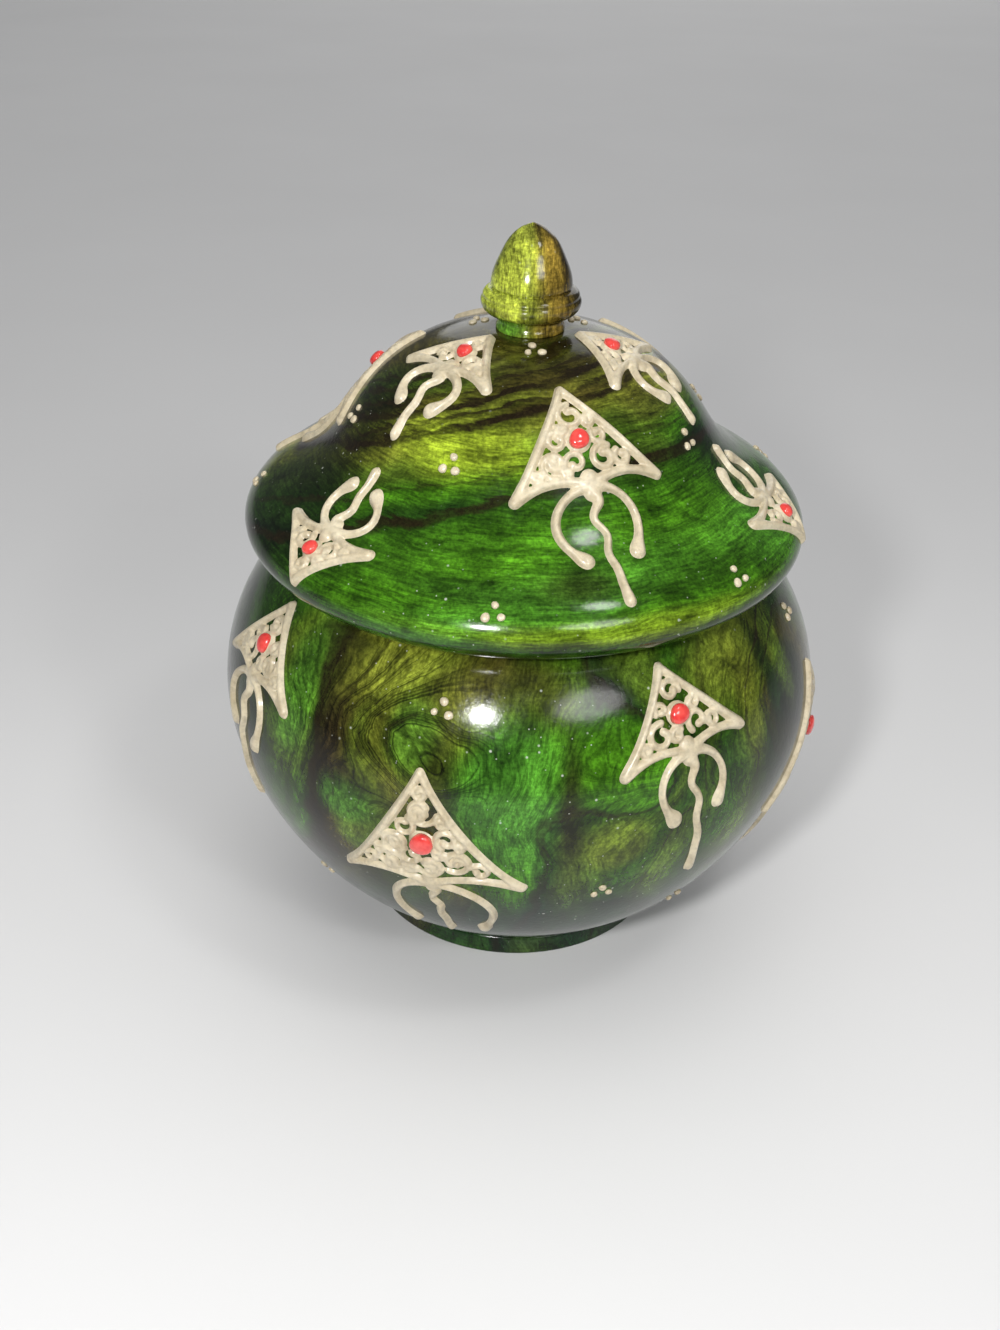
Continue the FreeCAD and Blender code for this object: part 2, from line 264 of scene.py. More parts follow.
def new_piece(name: str, points: Array, faces: Sequence[Array]) -> Object:
    """A smooth-shaded mesh object at the origin.

    Args:
        name: name of the piece.
        points: (n, 3) points in space.
        faces: blocks of point numbers, a row to a face, each block with its own count of corners.

    Returns:
        The object, linked to the scene.
    """
    mesh = bpy.data.meshes.new(name)
    corners = np.concatenate([block.ravel() for block in faces]).astype(np.int32)
    counts = np.concatenate([np.full(len(block), block.shape[1]) for block in faces])
    starts = np.concatenate(([0], np.cumsum(counts)[:-1])).astype(np.int32)
    mesh.vertices.add(len(points))
    mesh.vertices.foreach_set("co", points.astype(np.float32).ravel())
    mesh.loops.add(len(corners))
    mesh.loops.foreach_set("vertex_index", corners)
    mesh.polygons.add(len(counts))
    mesh.polygons.foreach_set("loop_start", starts)
    mesh.polygons.foreach_set("use_smooth", np.ones(len(counts), dtype=bool))
    mesh.update(calc_edges=True)
    piece = bpy.data.objects.new(name, mesh)
    bpy.context.scene.collection.objects.link(piece)
    return piece


def seat(piece: Object, body: Body, slot: Slot, material: Material, *nodes: str) -> None:
    """Dresses a piece, lets it ride on its body and stand for its nodes, and reports it.

    Args:
        piece: the finished object.
        body: the body that it moves with.
        slot: the record's material slot; not used.
        material: its finish.
        nodes: the nodes that it stands for.
    """
    piece.data.materials.append(material)
    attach(piece, body.value)
    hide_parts(*nodes)
    log.info("%s: %d faces, rides on %s", piece.name, len(piece.data.polygons), body.value)


def straight(start: Pair, end: Pair, spacing: float) -> Array:
    """Evenly spaced points from one (radius, height) pair to another."""
    count = max(2, int(math.dist(start, end) / spacing) + 1)
    return np.linspace(start, end, count)


def path_of(corners: Sequence[Pair], spacing: float) -> list[Array]:
    """Straight runs from each corner to the next one."""
    return [straight(start, end, spacing) for start, end in zip(corners, corners[1:])]


def trimmed(run: Array, head: float, tail: float, slack: float = 1e-6) -> Array:
    """A run of points with a length cut off its head and its tail.

    Args:
        run: (n, 2) points.
        head: length to cut off before the start.
        tail: length to cut off at the end.
        slack: least distance of a kept point from the two cuts.

    Returns:
        The points between the cuts, with a new one at each cut.
    """
    lengths = running_length(run)
    ends = np.array([head, lengths[-1] - tail])
    inside = (lengths > ends[0] + slack) & (lengths < ends[1] - slack)
    caps = along(ends, lengths, run)
    return np.concatenate([caps[:1], run[inside], caps[1:]])


def joined(runs: Sequence[Array], ease: float, steps: int = 5) -> Array:
    """One outline from several runs, with each corner between them eased.

    A corner c becomes the curve (1-u)^2 a + 2u(1-u) c + u^2 b between the points a and b that lie one
    ease before and after it.

    Args:
        runs: arrays of (radius, height) pairs, each starting where the last one ends.
        ease: how far from a corner its curve starts.
        steps: points of each curve.

    Returns:
        All the points in order.
    """
    last = len(runs) - 1
    cut = [trimmed(run, ease * (number > 0), ease * (number < last)) for number, run in enumerate(runs)]
    u = np.linspace(0, 1, steps + 2)[1:-1, None]
    pieces = [cut[0]]
    for before, after, run in zip(cut, cut[1:], runs[1:]):
        pieces.append((1 - u) ** 2 * before[-1] + 2 * u * (1 - u) * run[0] + u ** 2 * after[0])
        pieces.append(after)
    return np.concatenate(pieces)


def ring_faces(rings: int, steps: int) -> list[Array]:
    """Faces of a stack of rings of points that ends in one point below and one above.

    Args:
        rings: how many rings there are, from the bottom up.
        steps: points of each ring. The two end points are numbered after all the rings.

    Returns:
        The quads between the rings, the triangles at the bottom and those at the top, facing outwards.
    """
    index = np.arange(rings * steps).reshape(rings, steps)
    onward = np.roll(index, -1, axis=1)
    quads = np.stack([index[:-1], onward[:-1], onward[1:], index[1:]], axis=-1).reshape(-1, 4)
    bottom = np.stack([np.full(steps, rings * steps), onward[0], index[0]], axis=-1)
    top = np.stack([np.full(steps, rings * steps + 1), index[-1], onward[-1]], axis=-1)
    return [quads, bottom, top]


def cell_corners(grid: Array) -> list[Array]:
    """The four corners of every cell of a grid, in order round the cell."""
    return [grid[:-1, :-1], grid[1:, :-1], grid[1:, 1:], grid[:-1, 1:]]


def turned(name: str, outline: Array, steps: int) -> Object:
    """A closed solid turned about the jar's axis.

    A point is (r sin t, -r cos t, z) for each (r, z) of the outline and each turn t. The outline runs from
    axis to axis with the outside on its right, and its two ends become single points.

    Args:
        name: name of the piece.
        outline: (radius, height) pairs.
        steps: how many turns make the circle.

    Returns:
        The object.
    """
    turn = np.linspace(0, FULL_TURN, steps, endpoint=False)
    middle = around(outline[1:-1, None, :], turn[None, :]).reshape(-1, 3)
    ends = around(outline[[0, -1]], np.zeros(2))
    return new_piece(name, np.concatenate([middle, ends]), ring_faces(len(outline) - 2, steps))


@dataclass(frozen=True)
class Patch:
    """A soft-edged patch of colour: mostly a stain, in a few places painted shade.

    Attributes:
        azimuth: where it lies round the jar, in degrees.
        height: height of its middle.
        reach: half its width, in degrees.
        rise: half its height.
        tone: its colour: a stain, and in a few patches painted shade.
        share: how much of the ground it covers in its middle.
        BENDS: for each random field that bends its edge the size, the strength and the parts of the seed.
    """

    azimuth: float
    height: float
    reach: float
    rise: float
    tone: Tone
    share: float
    BENDS: ClassVar[tuple[tuple[float, ...], ...]] = ((0.022, 0.22, 7, 9000, 0), (0.007, 0.09, 3, 5000, 11))

    def weight(self, points: Array) -> Array:
        """Cover at points: share * exp(-d^4), d the distance in half sizes, bent by two random fields.

        Args:
            points: (n, 3) points in space.

        Returns:
            (n,) shares of the ground that it covers.
        """
        azimuth = np.degrees(np.arctan2(points[:, 0], -points[:, 1]))
        aside = (azimuth - self.azimuth + 180) % 360 - 180
        away = np.hypot(aside / self.reach, (points[:, 2] - self.height) / self.rise)
        for size, strength, by_turn, by_height, start in self.BENDS:
            seed = int(abs(self.azimuth) * by_turn + self.height * by_height + start)
            away = away + strength * wander(points, size, seed)
        return self.share * np.exp(-np.maximum(away, 0) ** 4)


# How far under the outside a point counts as inside, and the share of the plain stain there.
INSIDE_DEPTH = 0.003
INSIDE_SHARE = 0.8
# Cover below which a stain's colour has no say.
LEAST_COVER = 1e-6


def paint(
    piece: Object, patches: Iterable[Patch], burl: Iterable[Patch], skin: Outline | None = None,
) -> None:
    """Lays patches of stain and painted shade on a wooden piece as two attributes of its points.

    One attribute has the colour of the stains and the painted shade, each patch laid over the ones before it,
    and in its alpha how much of the ground they cover. The attribute burl says how much the figure swirls.

    Args:
        piece: the wooden piece.
        patches: the stains and the painted shade, in order.
        burl: where the figure swirls.
        skin: outline of the outside, where the inside has a plain stain of its own.
    """
    flat = np.empty(len(piece.data.vertices) * 3, np.float32)
    piece.data.vertices.foreach_get("co", flat)
    points = flat.reshape(-1, 3).astype(float)
    stain = np.zeros((len(points), 4), np.float32)
    for patch in patches:
        weight = patch.weight(points)
        cover = weight + stain[:, 3] * (1 - weight)
        kept = stain[:, :3] * (stain[:, 3] * (1 - weight))[:, None]
        laid = np.array(patch.tone.value) * weight[:, None]
        stain[:, :3] = (laid + kept) / np.maximum(cover, LEAST_COVER)[:, None]
        stain[:, 3] = cover
    if skin is not None:
        outside = np.interp(points[:, 2], skin.points[:, 1], skin.points[:, 0])
        inside = np.hypot(points[:, 0], points[:, 1]) < outside - INSIDE_DEPTH
        stain[inside] = (*Tone.BOTTLE.value, INSIDE_SHARE)
    swirl = np.zeros(len(points), np.float32)
    for patch in burl:
        swirl = np.maximum(swirl, patch.weight(points))
    attributes = piece.data.attributes
    attributes.new("stain", "FLOAT_COLOR", "POINT").data.foreach_set("color", stain.ravel())
    attributes.new("burl", "FLOAT", "POINT").data.foreach_set("value", swirl.astype(np.float32))


@dataclass(frozen=True)
class Cloud:
    """A cloudy noise: its cycles to a metre, and its detail, roughness and distortion."""

    scale: float
    detail: float
    roughness: float
    distortion: float = 0.0


@dataclass(frozen=True)
class Levels:
    """Two ranges: low becomes to_low and high becomes to_high, in a straight or a smooth step."""

    low: float
    high: float
    to_low: float = 0.0
    to_high: float = 1.0
    smooth: bool = False


class Recipe:
    """A material written as a chain of nodes that ends in one shader."""

    def __init__(self, name: str) -> None:
        """Starts a material with its shader and output.

        Args:
            name: name of the material.
        """
        self.material = bpy.data.materials.new(name)
        self.material.use_nodes = True
        self.tree = self.material.node_tree
        self.tree.nodes.clear()
        self.shader = self.tree.nodes.new("ShaderNodeBsdfPrincipled")
        output = self.tree.nodes.new("ShaderNodeOutputMaterial")
        self.tree.links.new(self.shader.outputs[0], output.inputs["Surface"])

    def feed(self, socket: Socket, value: Value) -> None:
        """Links a socket to another one, or sets its value.

        Args:
            socket: the input.
            value: an output, or a constant.
        """
        if isinstance(value, Socket):
            self.tree.links.new(value, socket)
        else:
            socket.default_value = value

    def add(self, kind: str, output: int | str, inputs: dict[int | str, Value], **settings: object) -> Socket:
        """A new node.

        Args:
            kind: kind of the node.
            output: number or name of the output that is used.
            inputs: what goes into its inputs, by number or name.
            settings: its other settings.

        Returns:
            That output.
        """
        node = self.tree.nodes.new("ShaderNode" + kind)
        for name, setting in settings.items():
            setattr(node, name, setting)
        for place, value in inputs.items():
            self.feed(node.inputs[place], value)
        return node.outputs[output]

    def finish(self, **values: Value) -> Material:
        """Feeds the shader.

        Args:
            values: what goes into each of its sockets, named with _ for a space.

        Returns:
            The finished material.
        """
        for name, value in values.items():
            self.feed(self.shader.inputs[name.replace("_", " ")], value)
        return self.material

    def here(self) -> Socket:
        """Object coordinates."""
        return self.add("TexCoord", "Object", {})

    def attribute(self, name: str, output: str) -> Socket:
        """An output of one of the mesh's own attributes."""
        return self.add("Attribute", output, {}, attribute_name=name)

    def maths(self, operation: str, *values: Value) -> Socket:
        """One sum on numbers."""
        return self.add("Math", 0, dict(enumerate(values)), operation=operation)

    def vector(self, operation: str, *values: Value) -> Socket:
        """One sum on vectors that gives a vector."""
        return self.add("VectorMath", 0, dict(enumerate(values)), operation=operation)

    def measure(self, operation: str, *values: Value) -> Socket:
        """One sum on vectors that gives a number."""
        return self.add("VectorMath", 1, dict(enumerate(values)), operation=operation)

    def axis(self, name: str, value: Value) -> Socket:
        """A vector of a length along one axis."""
        return self.add("CombineXYZ", 0, {name: value})

    def span(self, value: Value, levels: Levels) -> Socket:
        """A number carried from one range to another, held at its ends.

        Args:
            value: the number.
            levels: the two ranges.

        Returns:
            The carried number.
        """
        entries = (value, levels.low, levels.high, levels.to_low, levels.to_high)
        step = "SMOOTHSTEP" if levels.smooth else "LINEAR"
        return self.add("MapRange", 0, dict(enumerate(entries)), interpolation_type=step)

    def noise(self, vector: Value, cloud: Cloud, colour: bool = False) -> Socket:
        """Cloudy noise at a place, as a number or a colour."""
        sizes = {name.capitalize(): size for name, size in asdict(cloud).items()}
        return self.add("TexNoise", int(colour), {"Vector": vector, **sizes})

    def cells(self, vector: Value, scale: float) -> tuple[Socket, Socket]:
        """The distance to the nearest of many scattered points, and a random colour for each point."""
        away = self.add("TexVoronoi", "Distance", {"Vector": vector, "Scale": scale})
        return away, away.node.outputs["Color"]

    def ramp(self, value: Value, stops: Sequence[tuple[float, Point]]) -> Socket:
        """A colour that runs through stops.

        Args:
            value: a place from 0 to 1.
            stops: each a place and a linear colour.

        Returns:
            The colour at that place.
        """
        tone = self.add("ValToRGB", "Color", {0: value})
        ramp = tone.node.color_ramp
        ramp.interpolation = "EASE"
        for _ in range(len(stops) - 2):
            ramp.elements.new(0.5)
        for element, (place, stop) in zip(ramp.elements, stops):
            element.position = place
            element.color = (*stop, 1)
        return tone

    def mix(self, share: Value, first: Value, second: Value, blend: str = "MIX") -> Socket:
        """Two colours laid over each other.

        Args:
            share: how much of the second one is laid.
            first: the ground.
            second: what is laid over it.
            blend: how it is laid.

        Returns:
            The mixed colour.
        """
        ground, laid = (tone if isinstance(tone, Socket) else (*tone, 1) for tone in (first, second))
        inputs = {0: share, 6: ground, 7: laid}
        return self.add("Mix", 2, inputs, data_type="RGBA", blend_type=blend, clamp_factor=True)

    def shade(self, share: Value, ground: Value, value: Value, levels: Levels) -> Socket:
        """A ground darkened and lightened by a number, carried by levels to a factor."""
        return self.mix(share, ground, self.span(value, levels), "MULTIPLY")

    def bump(self, height: Value, strength: float, distance: float) -> Socket:
        """A normal that follows a height: how much of it shows, and how high a height of 1 is."""
        return self.add("Bump", 0, {"Strength": strength, "Distance": distance, "Height": height})


@dataclass(frozen=True)
class Eye:
    """A knot that the growth rings bend round.

    It adds push * exp(-(d / reach)^2) to the count of the rings, d the distance from its middle.
    """

    azimuth: float
    radius: float
    height: float
    reach: float
    push: float

    @property
    def place(self) -> Point:
        """Its middle in space."""
        return tuple(around(np.array([self.radius, self.height]), math.radians(self.azimuth)))


Warps = Sequence[tuple[Cloud, float]]


@dataclass(frozen=True)
class StainedWood:
    """Figured wood, stained and lacquered.

    The growth rings are warped planes square to a direction, bent round a few eyes. Their stains run through
    a list of stops, dark veins follow chosen rings, fibres, contours and turned lines lie over them, then
    specks in the lacquer.

    Attributes:
        name: name of the material.
        direction: the direction that the rings are counted along.
        drift: how far the rings wander.
        stops: (place along the direction, stain) pairs.
        veins: (place along the direction, half width, strength) of each dark vein.
        grain: how fine the fibres are along each axis, in cycles to a metre.
        fibre_share: strength of the fibres.
        fleck_share: strength of the fine flecks along the fibres.
        turned_share: strength of the fine turned lines.
        eyes: the knots.
        dust: strength of the specks.
        roughness: lowest and highest roughness.
    """

    name: str
    direction: Point
    drift: float
    stops: tuple[tuple[float, Tone], ...]
    veins: tuple[Point, ...]
    grain: Point
    fibre_share: float
    fleck_share: float
    turned_share: float
    eyes: tuple[Eye, ...] = ()
    dust: float = 0.75
    roughness: Pair = (0.10, 0.24)

    # Clouds that push the rings about, each with its share of the drift, and those of the burl.
    WARPS: ClassVar[Warps] = ((Cloud(14, 2, 0.5), 1.0), (Cloud(42, 2, 0.5), 0.62), (Cloud(130, 3, 0.6), 0.12))
    BURL_WARPS: ClassVar[Warps] = ((Cloud(30, 1.6, 0.45), 0.011), (Cloud(110, 3, 0.6), 0.0014))
    # Each layer's cloud, and the factors that it darkens and lightens the stain by.
    MOTTLE: ClassVar[Cloud] = Cloud(75, 5, 0.64, 0.6)
    MOTTLE_LEVELS: ClassVar[Levels] = Levels(0.30, 0.72, 0.30, 1.85)
    FIBRES: ClassVar[Cloud] = Cloud(1, 5, 0.62)
    FIBRE_LEVELS: ClassVar[Levels] = Levels(0.34, 0.68, 0.36, 1.66)
    FLECKS: ClassVar[Cloud] = Cloud(1, 3, 0.6)
    FLECK_LEVELS: ClassVar[Levels] = Levels(0.36, 0.62, 0.42, 1.66)
    FLECK_FINENESS: ClassVar[float] = 4
    LINES: ClassVar[Cloud] = Cloud(1, 4, 0.65)
    LINE_LEVELS: ClassVar[Levels] = Levels(0.34, 0.66, 0.10, 1.90)
    # Cycles of the turned lines to a radian, to a metre upwards and to a metre inwards.
    LINE_CYCLES: ClassVar[Point] = (2.4, 1700, 1050)
    PORES: ClassVar[Cloud] = Cloud(1500, 2, 0.6)
    PORE_LEVELS: ClassVar[Levels] = Levels(0.36, 0.62, 0.76, 1.30)
    # Lines along the rings of the burl: cycles of the bands and of the hairs to a metre.
    RINGS: ClassVar[Cloud] = Cloud(1, 4, 0.68)
    BAND_CYCLES: ClassVar[float] = 330
    BAND_LEVELS: ClassVar[Levels] = Levels(0.32, 0.68, 0.45, 1.85)
    HAIR_CYCLES: ClassVar[float] = 120
    HAIR_LEVELS: ClassVar[Levels] = Levels(0.0, 0.030, 0.25, 1.0, smooth=True)
    # How far the fibres fray a vein, its core as a share of its half width, and how the mottle breaks it.
    FRAY: ClassVar[float] = 0.0050
    VEIN_CORE: ClassVar[float] = 0.35
    VEIN_LEVELS: ClassVar[Levels] = Levels(0.32, 0.64, 1.15, 0.60)
    # Specks: points to a metre and the share of them that stays bare, and where the specks gather.
    SPECKS: ClassVar[tuple[Pair, ...]] = ((420, 0.86), (800, 0.79))
    SPECK_DISC: ClassVar[Levels] = Levels(0.05, 0.16, 1, 0, smooth=True)
    SPECK_EDGE: ClassVar[float] = 0.04
    SPECK_TONE: ClassVar[Point] = (0.55, 0.57, 0.50)
    SPECK_ROUGHNESS: ClassVar[float] = 0.6
    DUST: ClassVar[Cloud] = Cloud(22, 2, 0.5)
    DUST_RANGE: ClassVar[Point] = (0.42, 0.58, 0.06)
    # The lacquer: its uneven sheen, its fine skin, the share of the fibres in that skin and the bump.
    SHEEN: ClassVar[Cloud] = Cloud(260, 3, 0.6)
    SHEEN_RANGE: ClassVar[Pair] = (0.35, 0.7)
    SKIN: ClassVar[Cloud] = Cloud(900, 2, 0.5)
    FIBRE_RELIEF: ClassVar[float] = 0.35
    BUMP: ClassVar[Pair] = (0.16, 0.0003)

    def material(self) -> Material:
        """Writes the node chain.

        Returns:
            The material.
        """
        wood = Recipe(self.name)
        here = wood.here()
        moved = self._warped(wood, here, self.WARPS, self.drift)
        ring = self._rings(wood, moved)
        low, high = self.stops[0][0], self.stops[-1][0]
        stops = [((place - low) / (high - low), tone.value) for place, tone in self.stops]
        ground = wood.ramp(wood.span(ring, Levels(low, high)), stops)
        # The laid patches: stains, and in a few places painted shade.
        ground = wood.mix(wood.attribute("stain", "Alpha"), ground, wood.attribute("stain", "Color"))
        mottle = wood.noise(moved, self.MOTTLE)
        fibres = wood.noise(wood.vector("MULTIPLY", moved, self.grain), self.FIBRES)
        finer = tuple(self.FLECK_FINENESS * fine for fine in self.grain)
        flecks = wood.noise(wood.vector("MULTIPLY", moved, finer), self.FLECKS)
        ground = wood.shade(1.0, ground, mottle, self.MOTTLE_LEVELS)
        ground = wood.shade(self.fibre_share, ground, fibres, self.FIBRE_LEVELS)
        ground = wood.shade(self.fleck_share, ground, flecks, self.FLECK_LEVELS)
        ground = wood.shade(self.turned_share, ground, self._turned_lines(wood, here), self.LINE_LEVELS)
        ground = wood.mix(wood.attribute("burl", "Fac"), ground, self._contours(wood, here), "MULTIPLY")
        frayed = wood.maths("MULTIPLY_ADD", wood.maths("SUBTRACT", fibres, 0.5), self.FRAY, ring)
        ground = wood.mix(self._veins(wood, frayed, mottle), ground, Tone.BROWN.value)
        ground = wood.shade(1.0, ground, wood.noise(here, self.PORES), self.PORE_LEVELS)
        specks = self._specks(wood, here)
        rough = wood.span(wood.noise(here, self.SHEEN), Levels(*self.SHEEN_RANGE, *self.roughness))
        skin = wood.maths("MULTIPLY_ADD", fibres, self.FIBRE_RELIEF, wood.noise(here, self.SKIN))
        dull = wood.maths("MULTIPLY", specks, self.SPECK_ROUGHNESS)
        return wood.finish(
            Base_Color=wood.mix(specks, ground, self.SPECK_TONE),
            Roughness=wood.maths("MAXIMUM", rough, dull),
            Normal=wood.bump(skin, *self.BUMP),
            IOR=1.5,
            Specular_IOR_Level=0.12,
            Coat_Weight=0.46,
            Coat_Roughness=0.12,
        )

    @staticmethod
    def _warped(wood: Recipe, here: Socket, warps: Warps, drift: float) -> Socket:
        """Coordinates pushed about by clouds, one after another: p + 2 drift share (cloud(p) - 1/2).

        Args:
            wood: the material.
            here: the coordinates.
            warps: (cloud, share of the drift) pairs.
            drift: how far a whole share pushes.

        Returns:
            The pushed coordinates.
        """
        for cloud, share in warps:
            offset = wood.vector("SUBTRACT", wood.noise(here, cloud, colour=True), (0.5, 0.5, 0.5))
            here = wood.vector("ADD", here, wood.vector("MULTIPLY", offset, (2 * drift * share,) * 3))
        return here

    def _turned_lines(self, wood: Recipe, here: Socket) -> Socket:
        """Fine lines round the axis: noise on (cos t, sin t, z - 0.6 r), stretched along the turn t.

        Args:
            wood: the material.
            here: object coordinates.

        Returns:
            The noise.
        """
        by_turn, upwards, inwards = self.LINE_CYCLES
        flat = wood.vector("MULTIPLY", here, (1, 1, 0))
        way = wood.vector("MULTIPLY", wood.vector("NORMALIZE", flat), (by_turn, by_turn, 0))
        climb = wood.vector("ADD", way, wood.vector("MULTIPLY", here, (0, 0, upwards)))
        fall = wood.axis("Z", wood.maths("MULTIPLY", wood.measure("LENGTH", flat), -inwards))
        return wood.noise(wood.vector("ADD", climb, fall), self.LINES)

    def _rings(self, wood: Recipe, here: Socket) -> Socket:
        """The count of the growth rings: the place along their direction, pushed on near each eye.

        Args:
            wood: the material.
            here: the pushed coordinates.

        Returns:
            The count, in metres.
        """
        ring = wood.measure("DOT_PRODUCT", here, self.direction)
        for eye in self.eyes:
            offset = wood.vector("SUBTRACT", here, eye.place)
            away = wood.measure("DOT_PRODUCT", offset, offset)
            near = wood.maths("EXPONENT", wood.maths("MULTIPLY", away, -1 / eye.reach ** 2))
            ring = wood.maths("MULTIPLY_ADD", near, eye.push, ring)
        return ring

    def _along_rings(self, wood: Recipe, ring: Socket, cycles: float) -> Socket:
        """Noise on the count of the rings alone, so that it draws lines along them."""
        return wood.noise(wood.axis("X", wood.maths("MULTIPLY", ring, cycles)), self.RINGS)

    def _contours(self, wood: Recipe, here: Socket) -> Socket:
        """Flowing lines of the burl: soft bands along strongly bent rings, and dark hairs between them.

        Args:
            wood: the material.
            here: object coordinates.

        Returns:
            The factor that they darken and lighten the stain by.
        """
        ring = self._rings(wood, self._warped(wood, here, self.BURL_WARPS, 1.0))
        bands = wood.span(self._along_rings(wood, ring, self.BAND_CYCLES), self.BAND_LEVELS)
        thread = wood.maths("SUBTRACT", self._along_rings(wood, ring, self.HAIR_CYCLES), 0.5)
        hairs = wood.span(wood.maths("ABSOLUTE", thread), self.HAIR_LEVELS)
        return wood.maths("MULTIPLY", bands, hairs)

    def _veins(self, wood: Recipe, ring: Socket, mottle: Socket) -> Socket:
        """The dark veins: each one's strength where |ring - place| is small, broken up by the mottle.

        Args:
            wood: the material.
            ring: the frayed count of the rings.
            mottle: the noise that breaks them up.

        Returns:
            How much of the ground they cover.
        """
        whole: Value = 0.0
        for place, width, strength in self.veins:
            away = wood.maths("ABSOLUTE", wood.maths("SUBTRACT", ring, place))
            levels = Levels(self.VEIN_CORE * width, width, strength, 0, smooth=True)
            whole = wood.maths("MAXIMUM", whole, wood.span(away, levels))
        return wood.maths("MULTIPLY", whole, wood.span(mottle, self.VEIN_LEVELS))

    def _specks(self, wood: Recipe, here: Socket) -> Socket:
        """Sparse pale specks of dust in the lacquer: small discs at a few of many scattered points.

        Args:
            wood: the material.
            here: object coordinates.

        Returns:
            How much of the ground they cover.
        """
        whole: Value = 0.0
        for scale, bare in self.SPECKS:
            away, draw = wood.cells(here, scale)
            disc = wood.span(away, self.SPECK_DISC)
            chance = wood.measure("DOT_PRODUCT", draw, (1, 0, 0))
            pick = wood.span(chance, Levels(bare, bare + self.SPECK_EDGE))
            whole = wood.maths("MAXIMUM", whole, wood.maths("MULTIPLY", disc, pick))
        zone = wood.span(wood.noise(here, self.DUST), Levels(*self.DUST_RANGE, self.dust))
        return wood.maths("MULTIPLY", whole, zone)


@dataclass(frozen=True)
class Paste:
    """Hardened piped paste: cream, a little uneven in tone, satin gloss."""

    name: str = "cream_paste"
    light: Point = (0.66, 0.580, 0.415)
    shade: Point = (0.46, 0.380, 0.245)
    cloud: Cloud = Cloud(170, 4, 0.6)
    tone_levels: Levels = Levels(0.36, 0.70)
    sheen_levels: Levels = Levels(0.3, 0.7, 0.28, 0.46)
    grime: Cloud = Cloud(900, 3, 0.6)
    grime_levels: Levels = Levels(0.3, 0.55, 0.80, 1.04)
    skin: Cloud = Cloud(650, 3, 0.55)
    bump: Pair = (0.22, 0.0003)

    def material(self) -> Material:
        """Writes the node chain: cloudy tone, darker specks, fine bump.

        Returns:
            The material.
        """
        paste = Recipe(self.name)
        here = paste.here()
        cloud = paste.noise(here, self.cloud)
        ground = paste.mix(paste.span(cloud, self.tone_levels), self.light, self.shade)
        return paste.finish(
            Base_Color=paste.shade(1.0, ground, paste.noise(here, self.grime), self.grime_levels),
            Roughness=paste.span(cloud, self.sheen_levels),
            Normal=paste.bump(paste.noise(here, self.skin), *self.bump),
            Subsurface_Weight=0.06,
            Subsurface_Radius=(0.0012, 0.0008, 0.0004),
            Coat_Weight=0.25,
            Coat_Roughness=0.12,
        )


@dataclass(frozen=True)
class Enamel:
    """Coral red enamel: glossy, two close reds in a cloud."""

    name: str = "coral_enamel"
    light: Point = (0.80, 0.085, 0.068)
    shade: Point = (0.62, 0.026, 0.027)
    cloud: Cloud = Cloud(480, 3, 0.55)
    tone_levels: Levels = Levels(0.35, 0.68)
    sheen_levels: Levels = Levels(0.3, 0.7, 0.10, 0.22)
    skin: Cloud = Cloud(800, 2, 0.5)
    bump: Pair = (0.12, 0.0002)

    def material(self) -> Material:
        """Writes the node chain: two close reds in a cloud, faint bump.

        Returns:
            The material.
        """
        enamel = Recipe(self.name)
        here = enamel.here()
        cloud = enamel.noise(here, self.cloud)
        return enamel.finish(
            Base_Color=enamel.mix(enamel.span(cloud, self.tone_levels), self.light, self.shade),
            Roughness=enamel.span(cloud, self.sheen_levels),
            Normal=enamel.bump(enamel.noise(here, self.skin), *self.bump),
            Coat_Weight=0.8,
            Coat_Roughness=0.05,
        )


def between(start: Pair, end: Pair, shares: Sequence[Pair]) -> list[Pair]:
    """Points at (radius, height) shares of the way from one point to another."""
    return [tuple(a + (b - a) * part for a, b, part in zip(start, end, share)) for share in shares]


def flipped(shares: Sequence[Pair]) -> list[Pair]:
    """The same (radius, height) shares with their heights counted from the other end."""
    return [(radius, 1 - height) for radius, height in shares]


